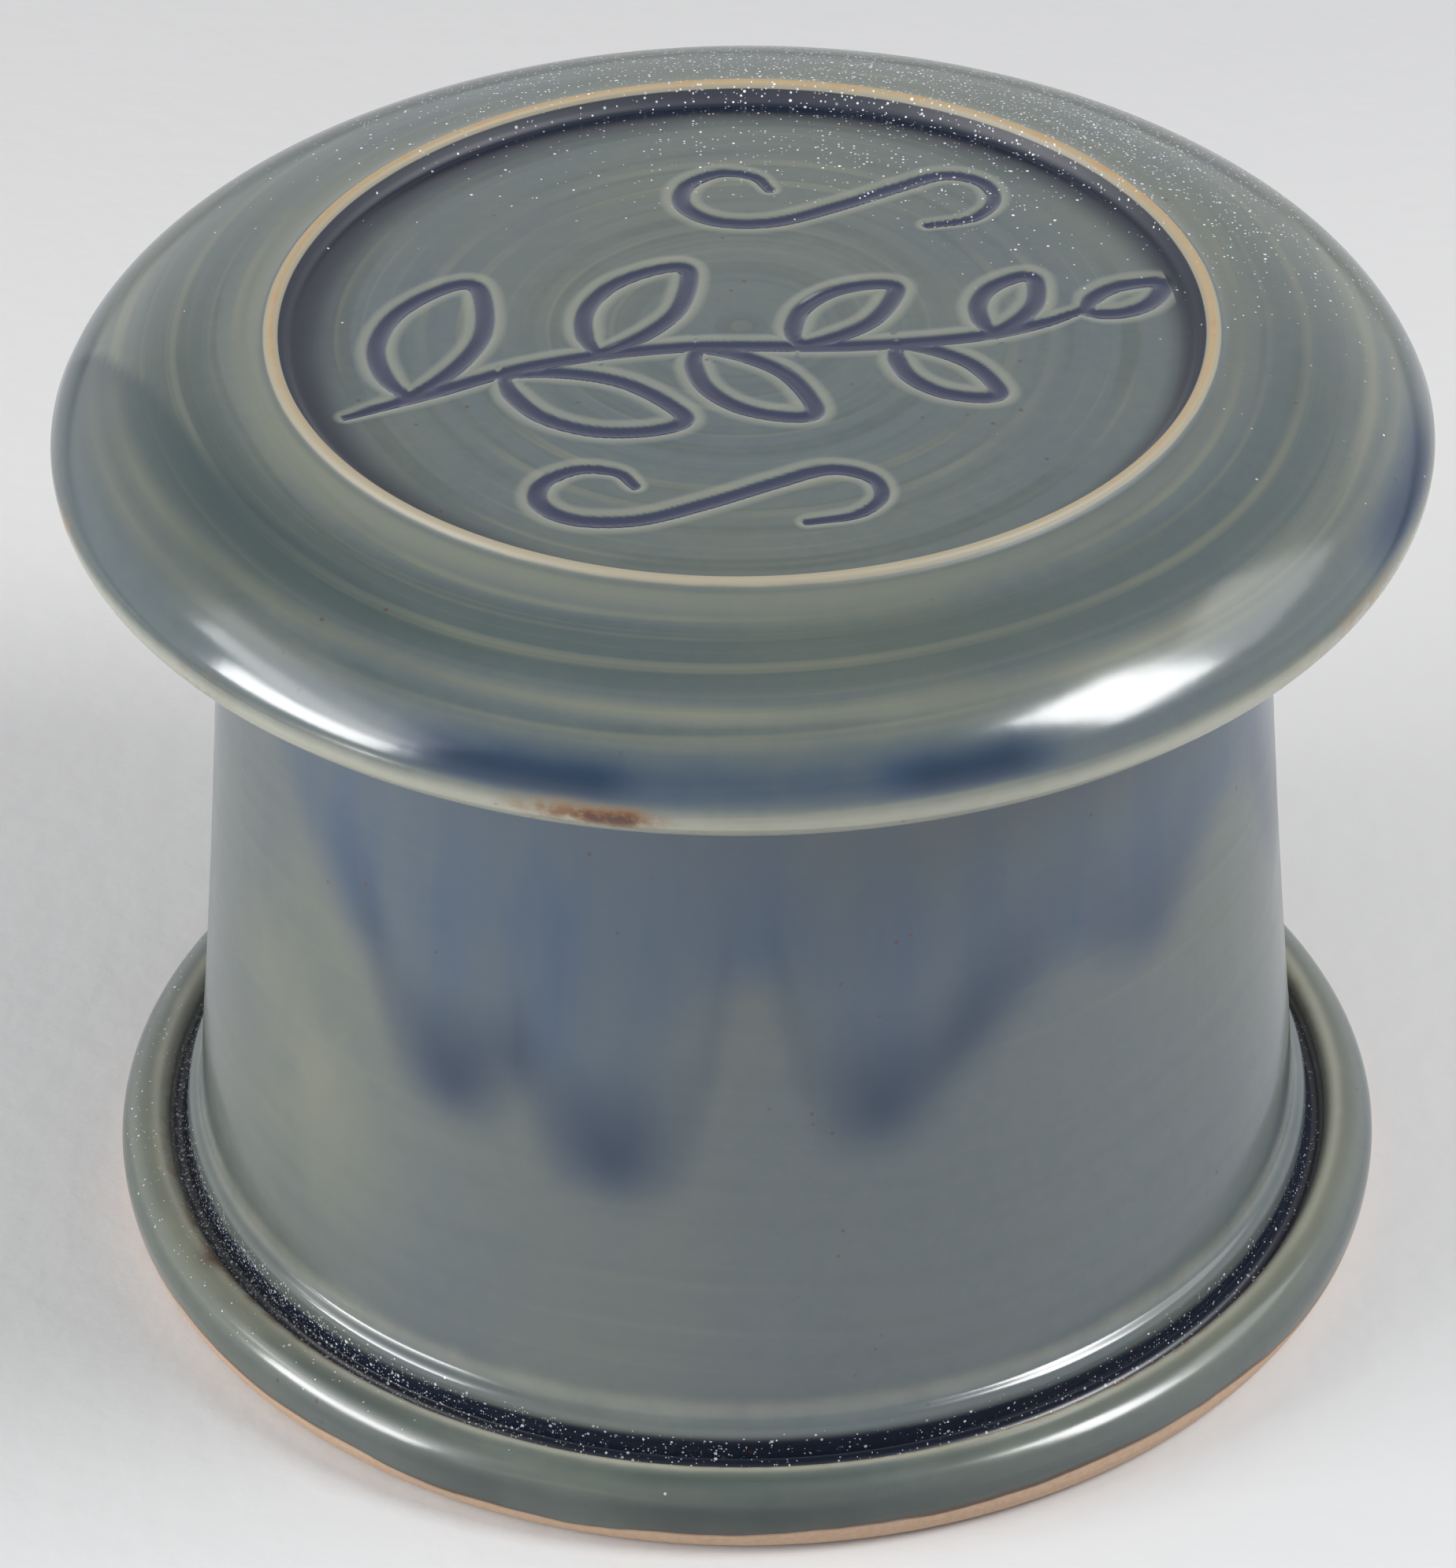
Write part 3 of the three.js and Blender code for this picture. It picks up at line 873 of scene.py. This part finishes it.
def glaze_foot(mesh):
    """Values for the bead, the trough and the bare foot."""
    skin = Skin(mesh)
    low = (1 - skin.up(5.4, 7.6)) * skin.out(58.4, 59.8)
    sides = skin.near((-70, 36), (66, 46))
    bare_line = 2.7 + skin.near((40, 26)) + 0.5 * skin.near((-48, 16)) + 0.25 * skin.wave(4)
    # White specks in the trough, partly painted glints, thickest on the left
    grit_and_glints = (1 - skin.out(56.4, 57.1)) * (0.20 + skin.near(GLINTS_THICKEST))
    marks = skin.near((-58, 24), (34, 20)) + 0.8 * skin.near((2, 12)) + 0.7 * skin.near((150, 40))
    skin.hold(
        pooled=1 - eased(skin.radius + 0.25 * skin.near(*SPARED), 56.2, 56.95),
        broken=0.95 * skin.ring(57.5, 1.05),
        mossy=skin.ring(59.6, 0.9) * (0.4 + 0.6 * skin.near((-15, 50))),
        # Darker on the lower outer face of the bead, strongest at the front
        dipped=low * (0.35 + 0.65 * skin.near((-6, 30))),
        olive=0.9 * sides * skin.ring(58.6, 1.9),
        bare=0.5 + (bare_line - skin.height) / 2.2,
        iron=skin.near((-62, 1.5)) * skin.ring(58.0, 0.9),
        dusty=grit_and_glints + 0.10 * skin.near((-82, 32)) * (1 - skin.out(60.6, 61.4)),
        toasted=marks * skin.ring(57.3, 0.6),
    )


def glaze_cap(mesh):
    """Values for the medallion, the ring, the shoulder and the rim."""
    skin = Skin(mesh)
    top = skin.height > 84
    on_shoulder = skin.out(43.6, 44.6) * top
    on_rim = skin.out(61, 62.5)
    glaze_medallion(skin, top)
    glaze_rim(skin, on_rim)
    past = skin.radius - np.interp(skin.bearing, *np.array(DIP_EDGE).T, left=90, right=90)
    fading = eased(skin.bearing, -103, -95) * (1 - eased(skin.bearing, -62, -14))
    dark_band = skin.out(47.5, 50.0) * (1 - skin.out(54.6, 56.8))
    pale_line = hump(skin.radius - 0.4 * skin.wave(2), 57.4, 0.75)
    second_line = 0.6 * hump(skin.radius + 0.3 * skin.wave(3), 59.6, 0.5)
    skin.hold(
        dipped=eased(past, -0.55, 0.75) * np.exp(-np.maximum(past, 0) / 8) * fading * on_shoulder,
        olive=(1 - skin.out(44.2, 48.8)) * (0.45 + 0.55 * skin.near((-55, 60))) * on_shoulder,
        mossy=dark_band * (0.25 + 0.75 * skin.near((-38, 82))) * on_shoulder,
        ridge_line=np.maximum(pale_line, second_line) * on_shoulder,
    )


def glaze_medallion(skin, top):
    """Values for the medallion and its ring, and for the dust that settled round the back."""
    inside_ring = (1 - skin.out(42.35, 42.75)) * (1 - skin.up(95.4, 95.8)) * top
    away = 1 - skin.near((12, 60))
    reach = 1.2 + 3.6 * away - 1.2 * skin.near((90, 40))
    pool = (0.42 + 0.58 * away) * np.exp(-((np.maximum(42.0 - skin.radius, 0) / reach) ** 2))
    fired = 0.62 + 0.38 * (1 - skin.near((-10, 85)))
    dust = (0.22 + 0.78 * skin.out(38, 47)) * skin.out(18, 33) * top
    skin.hold(
        pooled=pool * inside_ring,
        tanned=fired * skin.ring(42.90, 0.80) * skin.up(95.35, 95.75),
        dry=skin.ring(42.6, 1.35),
        dusty=(skin.near((152, 34)) + 0.30 * skin.near((-172, 34))) * dust,
    )


def glaze_rim(skin, on_rim):
    """Values for the rim: cobalt over it, cream under it, and iron on its edge."""
    lower_rim = (1 - skin.up(84.4, 87.0)) * skin.out(55.5, 57.5)
    blue = skin.between(-26, -11, 5) + 0.75 * skin.between(13, 23, 4) + 0.9 * skin.between(66, 84, 6)
    blue += 0.6 * skin.between(120, 150, 8) + 0.6 * skin.between(-150, -128, 8)
    front = skin.between(-27, 25, 4)
    run = skin.ring(62.3, 1.6) * skin.up(85.6, 86.8)
    gathered = skin.ring(62.4, 1.3) * skin.up(85.9, 86.8)
    halo = 0.52 * skin.near((-13.4, 5.8)) * skin.level(84.9, 1.3)
    spot = skin.near((-10.4, 3.9)) * skin.level(84.8, 1.05)
    marks = skin.near((-73, 2.6), (-49, 2.8)) + 0.7 * skin.near((60, 9))
    skin.hold(
        broken=np.maximum(0.74 * lower_rim, 0.5 * skin.level(80.4, 0.5)),
        cobalt=np.clip(0.25 + 0.45 * front + blue, 0, 1) * run,
        gathered=np.clip(1.2 * blue + 0.30 * front, 0, 1) * gathered,
        iron=np.maximum(spot, halo) * on_rim,
        toasted=marks * skin.level(85.0, 1.0) * on_rim,
    )


def glaze_bell(mesh):
    """Values for the bell: its lip breaks to cream."""
    skin = Skin(mesh)
    skin.hold(broken=0.7 * skin.level(BELL_LOW.z / MM, 1.4))


# ---------------------------------------------------------------------------
# Glazes and clay
# ---------------------------------------------------------------------------

GLAZE_IOR = 1.7

# White specks, in two layers: places to a metre, size within a place, and the share that shows
# In the trough the specks are partly grit and partly painted glints of light, thickest on the left
TROUGH_GRIT_AND_GLINTS = ((4300.0, 0.38, 0.85), (1950.0, 0.32, 0.90))
LID_DUST = ((2600.0, 0.30, 1.3), (1300.0, 0.20, 1.2))


def glaze_base(sheet, colours, lines):
    """The ground: cool and warm clouds, with pale and dark lines along the throwing marks."""
    clouds = sheet.ramp(sheet.noise(24.0, 3.0, 0.55, 0.4), 0.34, 0.66)
    ground = sheet.lay(colours.celadon, colours.slate, clouds)
    patchy = sheet.ramp(sheet.noise(38.0), 0.35, 0.62)
    dark = sheet.ramp(sheet.streaks(0.010, 330.0), 0.46, 0.66)
    ground = sheet.lay(ground, colours.moss, dark, patchy, lines)
    elsewhere = sheet.ramp(sheet.noise(31.0), 0.62, 0.36)
    light = sheet.ramp(sheet.streaks(0.007, 480.0), 0.52, 0.74)
    ground = sheet.lay(ground, colours.pale, light, elsewhere, lines)
    return sheet.lay(ground, colours.pale, sheet.ramp(sheet.noise(520.0, 3.0, 0.7), 0.3, 0.7, 0.0, 0.10))


def finish_glaze(sheet, colour, colours, rough, bare=None, dull=None):
    """Adds rust flecks, bare clay, gloss and a faint orange peel, and closes the material."""
    fleck = sheet.ramp(sheet.cells(330.0)["Distance"], 0.10, 0.045)
    colour = sheet.lay(colour, colours.iron, fleck, sheet.ramp(sheet.noise(60.0, 0.0), 0.56, 0.66), 0.55)
    roughness = sheet.ramp(sheet.noise(70.0, 3.0), 0.3, 0.7, *rough)
    if dull is not None:
        roughness = sheet.math("MAXIMUM", roughness, dull)
    if bare is not None:
        grain = sheet.ramp(sheet.noise(1500.0, 4.0, 0.7), 0.3, 0.8, 0.0, 0.6)
        fired = sheet.lay(colours.clay, colours.dark_clay, grain)
        colour = sheet.lay(colour, fired, sheet.ramp(bare, 0.47, 0.53))
        patches = sheet.ramp(sheet.noise(45.0), 0.38, 0.6, 0.25, 1.0)
        edge_line = (sheet.ramp(bare, 0.26, 0.42), sheet.ramp(bare, 0.66, 0.50), patches)
        colour = sheet.lay(colour, colours.clay_line, *edge_line)
        roughness = sheet.math("MAXIMUM", roughness, sheet.ramp(bare, 0.46, 0.54, 0.0, 0.82))
    values = {"Strength": 0.5, "Distance": 0.02 * MM, "Height": sheet.noise(420.0)}
    peel = sheet.out("ShaderNodeBump", values)
    return sheet.close({"Base Color": colour, "Roughness": roughness, "IOR": GLAZE_IOR, "Normal": peel})


def break_and_pool(sheet, colour, colours):
    """Cream where the glaze thins over an edge, blue-black where it pools."""
    thin = sheet.math("ADD", sheet.held("broken"), sheet.ragged(150.0, 3.0, 0.6, 0.28))
    colour = sheet.lay(colour, colours.cream, sheet.ramp(thin, 0.10, 0.95, 0.0, 0.95))
    deep = sheet.math("ADD", sheet.held("pooled"), sheet.ragged(150.0, 3.0, 0.6, 0.12))
    return sheet.lay(colour, colours.indigo, sheet.ramp(deep, 0.10, 0.92))


def run_cobalt(sheet, colour, colours):
    """Cobalt, clouded where it runs and deep where it gathers."""
    values = {0: sheet.place, 1: (1, 1, 0.22)}
    drawn_down = sheet.out("ShaderNodeVectorMath", values, operation="MULTIPLY")
    values = {"Vector": drawn_down, "Scale": 130.0, "Detail": 3.0, "Roughness": 0.6}
    cloud = sheet.ramp(sheet.out("ShaderNodeTexNoise", values), 0.28, 0.72, 0.60, 1.0)
    colour = sheet.lay(colour, colours.cobalt, "cobalt", cloud)
    return sheet.lay(colour, colours.ink, "gathered", 0.95)


def toast(sheet, colour, colours):
    """Orange-brown marks where iron comes through a thin edge."""
    blotch = sheet.ramp(sheet.noise(420.0, 3.0, 0.6), 0.40, 0.62)
    return sheet.lay(colour, colours.toast, "toasted", blotch, 0.85)


def specks(sheet, colour, colours, layers):
    """White specks, in a share of the places where one could be: dust on the lid, and partly painted glints
    in the trough.
    """
    for scale, size, share in layers:
        cells = sheet.cells(scale)
        pick = sheet.add("ShaderNodeSeparateColor", {0: cells["Color"]}).outputs
        amount = sheet.math("MULTIPLY", sheet.held("dusty"), share)
        chosen = sheet.math("LESS_THAN", pick[0], amount)
        reach = sheet.math("MULTIPLY", sheet.ramp(pick[1], 0.0, 1.0, 0.40, 1.0), size)
        inside = sheet.math("LESS_THAN", cells["Distance"], reach)
        tint = sheet.lay(colours.dim_speck, colours.bright_speck, pick[2])
        colour = sheet.lay(colour, tint, inside, chosen)
    return colour


def crock_glaze(colours):
    """The wall: a cool ground with cobalt runs."""
    sheet = GlazeSheet("Crock glaze")
    colour = sheet.lay(glaze_base(sheet, colours, 0.16), colours.dusk, 0.40)
    warmth = sheet.ramp(sheet.noise(55.0, 3.0), 0.25, 0.65, 0.2, 0.8)
    colour = sheet.lay(colour, colours.sand, "olive", warmth)
    colour = run_cobalt(sheet, colour, colours)
    colour = break_and_pool(sheet, colour, colours)
    # Partly painted glints among the white specks on the ledge
    colour = specks(sheet, colour, colours, TROUGH_GRIT_AND_GLINTS)
    return finish_glaze(sheet, colour, colours, (0.15, 0.22), sheet.held("bare"))


def foot_glaze(colours):
    """The bead and the trough, and the bare clay under a ragged edge."""
    sheet = GlazeSheet("Foot glaze")
    colour = glaze_base(sheet, colours, 0.38)
    colour = sheet.lay(colour, colours.pale, "olive", 0.85)
    colour = sheet.lay(colour, colours.moss, "mossy", sheet.ramp(sheet.noise(60.0, 3.0), 0.3, 0.6), 0.75)
    wash = sheet.ramp(sheet.noise(48.0, 3.0), 0.3, 0.6, 0.55, 1.0)
    # Darker on the lower outer face of the bead, strongest at the front
    colour = sheet.lay(colour, colours.foot_dark, "dipped", wash)
    colour = break_and_pool(sheet, colour, colours)
    colour = toast(sheet, colour, colours)
    colour = sheet.lay(colour, colours.iron, "iron", 0.8)
    # Partly painted glints among the white specks in the trough
    colour = specks(sheet, colour, colours, TROUGH_GRIT_AND_GLINTS)
    bare = sheet.math("ADD", sheet.held("bare"), sheet.ragged(70.0, 3.0, 0.5, 0.9))
    dull = sheet.ramp(sheet.held("pooled"), 0.3, 0.9, 0.0, 0.34)
    return finish_glaze(sheet, colour, colours, (0.17, 0.24), bare, dull)


def cap_glaze(colours):
    """The lid: banded shoulder, toasted ring, incised medallion, cobalt and iron on the rim."""
    sheet = GlazeSheet("Lid glaze")
    colour = sheet.lay(glaze_base(sheet, colours, 0.46), colours.moss, 0.16)
    colour = sheet.lay(colour, colours.shoulder, "olive", 0.75)
    shade = sheet.ramp(sheet.noise(30.0, 3.0), 0.3, 0.7, 0.5, 1.0)
    colour = sheet.lay(colour, colours.moss, "mossy", shade, 0.84)
    fine = sheet.ramp(sheet.streaks(0.004, 760.0), 0.50, 0.76, 0.0, 0.30)
    colour = sheet.lay(colour, colours.pale, fine, "mossy")
    lit = sheet.ramp(sheet.noise(26.0), 0.3, 0.65, 0.15, 0.70)
    colour = sheet.lay(colour, colours.pale, "ridge_line", lit)
    colour = sheet.lay(colour, colours.lid_dip, "dipped", 0.92)
    colour = run_cobalt(sheet, colour, colours)
    colour = break_and_pool(sheet, colour, colours)
    colour = toast(sheet, colour, colours)
    colour = toasted_ring(sheet, colour, colours)
    colour = inked_lines(sheet, colour, colours)
    colour = iron_spot(sheet, colour, colours)
    colour = specks(sheet, colour, colours, LID_DUST)
    dull = sheet.ramp(sheet.held("dry"), 0.15, 0.6, 0.0, 0.55)
    return finish_glaze(sheet, colour, colours, (0.14, 0.20), None, dull)


def toasted_ring(sheet, colour, colours):
    """The raised ring: oat-coloured sides, and a tan top with rusty marks."""
    marks = sheet.ramp(sheet.noise(210.0, 3.0, 0.6), 0.52, 0.68, 0.0, 0.75)
    fired = sheet.lay(colours.tan, colours.rust, marks)
    fray = sheet.math("MULTIPLY", sheet.noise(300.0), 0.12)
    ring = sheet.math("ADD", sheet.held("tanned"), fray)
    colour = sheet.lay(colour, colours.oat, sheet.ramp(ring, 0.25, 0.50))
    return sheet.lay(colour, fired, sheet.ramp(ring, 0.62, 0.98))


def inked_lines(sheet, colour, colours):
    """Dark glaze in the incised lines, and thin glaze beside them."""
    stroke = sheet.held("stroke")
    beside = (sheet.ramp(stroke, 1.0, 1.9), sheet.ramp(stroke, 8.0, 2.2))
    colour = sheet.lay(colour, colours.halo, *beside, 0.50)
    return sheet.lay(colour, colours.line, sheet.ramp(stroke, 1.35, 0.80))


def iron_spot(sheet, colour, colours):
    """A red-brown spot with an amber halo."""
    core = sheet.ramp(sheet.noise(480.0, 4.0, 0.65), 0.30, 0.62, 0.45, 1.0)
    spotted = sheet.math("MULTIPLY", sheet.held("iron"), core)
    colour = sheet.lay(colour, colours.amber, sheet.ramp(spotted, 0.04, 0.52, 0.0, 0.9))
    return sheet.lay(colour, colours.iron, sheet.ramp(spotted, 0.34, 0.78))


def bell_glaze(colours):
    """The bell: the plain ground, with a cream lip."""
    sheet = GlazeSheet("Bell glaze")
    colour = break_and_pool(sheet, glaze_base(sheet, colours, 0.3), colours)
    return finish_glaze(sheet, colour, colours, (0.13, 0.20))


# ---------------------------------------------------------------------------
# Making the pieces
# ---------------------------------------------------------------------------

RIDGE_SCALE = 380.0
RIDGE_SEED = 0.37

# For each piece, its facets round and the height of its throwing ridges
CROCK_TURNING = (360, 0.05 * MM)
FOOT_TURNING = (384, 0.04 * MM)
CAP_TURNING = (448, 0.06 * MM)
BELL_TURNING = (256, 0.12 * MM)

# Where the ridges begin on the wall, how far they take to grow, and where they begin on the bead
WALL_RIDGES_FROM = 12 * MM
WALL_RIDGES_GROW = 6 * MM
BEAD_RIDGES_FROM = 2 * MM

# How far the cap's ridges go down from its top, and the medallion's radius, where they are fainter
CAP_RIDGES_DEPTH = 10.5 * MM
MEDALLION_RADIUS = 41.5 * MM
MEDALLION_RIDGES = 0.3


def throw(name, outline, turning, material, ridged=lambda radius, height: 1.0):
    """The helper object that an outline is turned on, with its modifier still live."""
    facets, ridge = turning
    helper = link(name, outline_mesh(name, outline, ridged))
    tree = bpy.data.node_groups.get("Thrown clay") or thrown_tree()
    values = {"Facets": facets, "Ridge height": ridge, "Clay": material}
    add_modifier(helper, tree, values | {"Ridge scale": RIDGE_SCALE, "Seed": RIDGE_SEED})
    return helper


def settle(helper, name, glaze, body, slot, *nodes):
    """Makes the helper a plain piece, glazes its points and sets it on its body."""
    mesh = plain_mesh(helper, name)
    face_outwards(mesh)
    glaze(mesh)
    piece = link(name, mesh)
    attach(piece, body)
    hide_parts(*nodes)


def wall_ridges(radius, height):
    """Ridges run up the wall, and leave the ledge and the base alone."""
    return float(min(1.0, max(0.0, (height - WALL_RIDGES_FROM) / WALL_RIDGES_GROW)))


def bead_ridges(radius, height):
    """The face on the table stays flat."""
    return float(height > BEAD_RIDGES_FROM)


def cap_ridges(radius, height):
    """Ridges on the shoulder, fainter on the medallion, none on the seat."""
    if height < CAP_HIGH.z - CAP_RIDGES_DEPTH:
        return 0.0
    return MEDALLION_RIDGES if radius < MEDALLION_RADIUS else 1.0


def ornament(sizes):
    """The sprig and the two scrolls as one object of edges."""
    reach = sizes.cut_width / 2
    stem = link("stem_lines", line_mesh("stem_lines", [(smooth_path(STEM), STEM_TAPER)], reach))
    leaf_path = smooth_path(LEAF, width=LEAF_LENGTH, height=LEAF_LENGTH)
    leaf = link("leaf_line", line_mesh("leaf_line", [(leaf_path, STEM_TAPER)], reach))
    values = {"Leaf": leaf, "Leaves": 8, "Spread": 0.92, "Start": 0.09, "Tip size": 0.46}
    add_modifier(stem, sprig_tree(), values)
    sprig = plain_mesh(stem, "sprig_lines")
    bpy.data.objects.remove(leaf)
    scrolls = [(smooth_path(SCROLL, *place), SCROLL_TAPER) for place in SCROLL_PLACES]
    joined = bmesh.new()
    joined.from_mesh(sprig)
    joined.from_mesh(line_mesh("scroll_lines", scrolls, reach))
    mesh = bpy.data.meshes.new("ornament_lines")
    joined.to_mesh(mesh)
    joined.free()
    return link("ornament_lines", mesh)


class CROCK_OT_throw_crock(bpy.types.Operator):
    """Throw the crock's cup and its ledge"""

    bl_idname = "crock.throw_crock"
    bl_label = "Throw crock"

    def execute(self, context):
        scene = context.scene
        outline = crock_outline(scene.crock_sizes)
        material = crock_glaze(scene.crock_colours)
        helper = throw("thrown_crock", outline, CROCK_TURNING, material, wall_ridges)
        settle(helper, "glazed_crock", glaze_crock, "crock", "crock_glaze", "crock_wall")
        return {"FINISHED"}


class CROCK_OT_throw_foot(bpy.types.Operator):
    """Throw the foot ring with its bead and trough"""

    bl_idname = "crock.throw_foot"
    bl_label = "Throw foot"

    def execute(self, context):
        scene = context.scene
        outline = foot_outline(scene.crock_sizes)
        material = foot_glaze(scene.crock_colours)
        helper = throw("thrown_foot", outline, FOOT_TURNING, material, bead_ridges)
        settle(helper, "glazed_foot", glaze_foot, "crock", "foot_glaze", "foot_ring")
        return {"FINISHED"}


class CROCK_OT_throw_cap(bpy.types.Operator):
    """Throw the lid's cap and cut the ornament into its medallion"""

    bl_idname = "crock.throw_cap"
    bl_label = "Throw cap"

    def execute(self, context):
        sizes = context.scene.lid_sizes
        material = cap_glaze(context.scene.crock_colours)
        helper = throw("thrown_cap", cap_outline(sizes), CAP_TURNING, material, cap_ridges)
        lines = ornament(sizes)
        values = {"Lines": lines, "Cut depth": sizes.cut_depth, "Burr height": sizes.burr_height}
        values |= {"Reach": sizes.cut_reach, "Lowest": CAP_HIGH.z - 2 * sizes.medallion_depth}
        add_modifier(helper, incised_tree(), values | {"Clay": material})
        settle(helper, "glazed_cap", glaze_cap, "lid", "lid_glaze", "lid_cap")
        bpy.data.objects.remove(lines)
        return {"FINISHED"}


class CROCK_OT_throw_bell(bpy.types.Operator):
    """Throw the bell that hangs under the cap"""

    bl_idname = "crock.throw_bell"
    bl_label = "Throw bell"

    def execute(self, context):
        scene = context.scene
        outline = bell_outline(scene.lid_sizes)
        helper = throw("thrown_bell", outline, BELL_TURNING, bell_glaze(scene.crock_colours))
        settle(helper, "glazed_bell", glaze_bell, "lid", "bell_glaze", "butter_bell")
        return {"FINISHED"}


# ---------------------------------------------------------------------------
# Stage
# ---------------------------------------------------------------------------

FLOOR_HALF = 6.0
LIGHTS_AIM = 0.8
ROOM_COLOUR = (0.97, 0.98, 1.0, 1.0)
ROOM_LOW = 0.82
ROOM_HIGH = 0.27

# Softboxes: bearing, elevation, distance, width and height, brightness
SOFTBOXES = {
    "right_window": (74, 45, 1.10, (0.37, 0.46), 15.0),
    "right_spill": (104, 40, 1.12, (0.50, 0.40), 2.0),
    "left_window": (-71, 18, 1.10, (0.60, 0.28), 13.5),
    "left_glow_low": (-77, 31, 1.12, (0.80, 0.16), 4.6),
    "left_glow_middle": (-80, 40, 1.14, (0.90, 0.18), 1.7),
    "left_glow_high": (-80, 49, 1.16, (0.95, 0.18), 0.5),
}


def paper_floor(settings):
    """Matt off-white paper with a faint tooth, and painted shade that darkens it towards the back."""
    sheet = GlazeSheet("Paper floor")
    values = {"Strength": 0.35, "Distance": 0.4 * MM, "Height": sheet.noise(260.0, 3.0)}
    tooth = sheet.out("ShaderNodeBump", values)
    clouds = sheet.ramp(sheet.noise(3.0, 1.0), 0.35, 0.65)
    paper = sheet.lay(settings.floor_colour, settings.floor_cloud, clouds)
    # Painted shade, darker towards the back
    depth = sheet.add("ShaderNodeSeparateXYZ", {0: sheet.place}).outputs[1]
    paper = sheet.lay(paper, settings.floor_shade_behind, sheet.ramp(depth, 0.0, 0.40))
    return sheet.close({"Base Color": paper, "Roughness": 0.8, "Specular IOR Level": 0.15, "Normal": tooth})


def softbox(name, bearing, elevation, distance, size, radiance):
    """An area light of even brightness that faces the crock, placed by its bearing from the front."""
    light = bpy.data.lights.new(name, "AREA")
    light.shape = "RECTANGLE"
    light.size, light.size_y = size
    light.energy = radiance * math.pi * size[0] * size[1]
    a, e = math.radians(bearing), math.radians(elevation)
    out = Vector((math.sin(a) * math.cos(e), -math.cos(a) * math.cos(e), math.sin(e)))
    thing = link(name, light)
    thing.location = Vector((0, 0, CAP_HIGH.z * LIGHTS_AIM)) + out * distance
    thing.rotation_euler = out.to_track_quat("Z", "Y").to_euler()


def pale_room():
    """A world that is brightest round the horizon, as a paper sweep is."""
    world = bpy.data.worlds.new("Pale room")
    world.use_nodes = True
    sheet = NodeSheet(world.node_tree)
    direction = sheet.add("ShaderNodeTexCoord").outputs["Generated"]
    height = sheet.add("ShaderNodeSeparateXYZ", {0: direction}).outputs[2]
    background = world.node_tree.nodes["Background"]
    background.inputs["Color"].default_value = ROOM_COLOUR
    strength = sheet.ramp(height, 0.15, 0.85, ROOM_LOW, ROOM_HIGH)
    sheet.tree.links.new(strength, background.inputs["Strength"])
    return world


def camera_place(settings):
    """The camera's matrix, from its distance, height, pitch, yaw and roll."""
    p, yaw, roll = settings.camera_pitch, settings.camera_yaw, settings.camera_roll
    ahead = Vector((math.sin(yaw) * math.cos(p), math.cos(yaw) * math.cos(p), -math.sin(p)))
    right = Vector((math.cos(yaw), -math.sin(yaw), 0))
    up = right.cross(ahead)
    tilted_right = right * math.cos(roll) + up * math.sin(roll)
    tilted_up = up * math.cos(roll) - right * math.sin(roll)
    turned = Matrix((tilted_right, tilted_up, -ahead)).transposed().to_4x4()
    return Matrix.Translation((0, -settings.camera_distance, settings.camera_height)) @ turned


class CROCK_OT_set_stage(bpy.types.Operator):
    """Lay the floor, hang the lights and set the camera"""

    bl_idname = "crock.set_stage"
    bl_label = "Set stage"

    def execute(self, context):
        scene = context.scene
        settings = scene.studio
        mesh = bpy.data.meshes.new("floor")
        corners = [(x * FLOOR_HALF, y * FLOOR_HALF, 0) for x, y in ((-1, -1), (1, -1), (1, 1), (-1, 1))]
        mesh.from_pydata(corners, [], [(0, 1, 2, 3)])
        mesh.materials.append(paper_floor(settings))
        link("floor", mesh)
        scene.view_settings.view_transform = "Standard"
        scene.world = pale_room()
        for name, placing in SOFTBOXES.items():
            softbox(name, *placing)
        camera = bpy.data.cameras.new("camera")
        camera.sensor_width = 36.0
        camera.lens = settings.focal_length
        camera.clip_start = 10 * MM
        scene.camera = link("camera", camera)
        scene.camera.matrix_world = camera_place(settings)
        return {"FINISHED"}


# ---------------------------------------------------------------------------
# Add-on
# ---------------------------------------------------------------------------

GROUPS = (
    ("crock_sizes", CrockSizes),
    ("lid_sizes", LidSizes),
    ("crock_colours", GlazeColours),
    ("studio", StudioSettings),
)
OPERATORS = (
    CROCK_OT_set_stage,
    CROCK_OT_throw_crock,
    CROCK_OT_throw_foot,
    CROCK_OT_throw_cap,
    CROCK_OT_throw_bell,
)


class CROCK_PT_panel(bpy.types.Panel):
    """Lists the crock's pieces and their settings"""

    bl_idname = "CROCK_PT_panel"
    bl_label = "Butter Crock"
    bl_space_type = "VIEW_3D"
    bl_region_type = "UI"
    bl_category = "Crock"

    def draw(self, context):
        for operator in OPERATORS:
            self.layout.operator(operator.bl_idname)
        for name, group in GROUPS:
            box = self.layout.box()
            for key in group.__annotations__:
                box.prop(getattr(context.scene, name), key)


def register():
    """Adds the settings, the operators and the panel."""
    for name, group in GROUPS:
        bpy.utils.register_class(group)
        setattr(bpy.types.Scene, name, bpy.props.PointerProperty(type=group))
    for operator in OPERATORS:
        bpy.utils.register_class(operator)
    bpy.utils.register_class(CROCK_PT_panel)


def unregister():
    """Takes them away again, last one first."""
    bpy.utils.unregister_class(CROCK_PT_panel)
    for operator in reversed(OPERATORS):
        bpy.utils.unregister_class(operator)
    for name, group in reversed(GROUPS):
        delattr(bpy.types.Scene, name)
        bpy.utils.unregister_class(group)


def main():
    """Registers the add-on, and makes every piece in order."""
    register()
    bpy.ops.crock.set_stage()
    bpy.ops.crock.throw_crock()
    bpy.ops.crock.throw_foot()
    bpy.ops.crock.throw_cap()
    bpy.ops.crock.throw_bell()


if __name__ == "__main__":
    main()
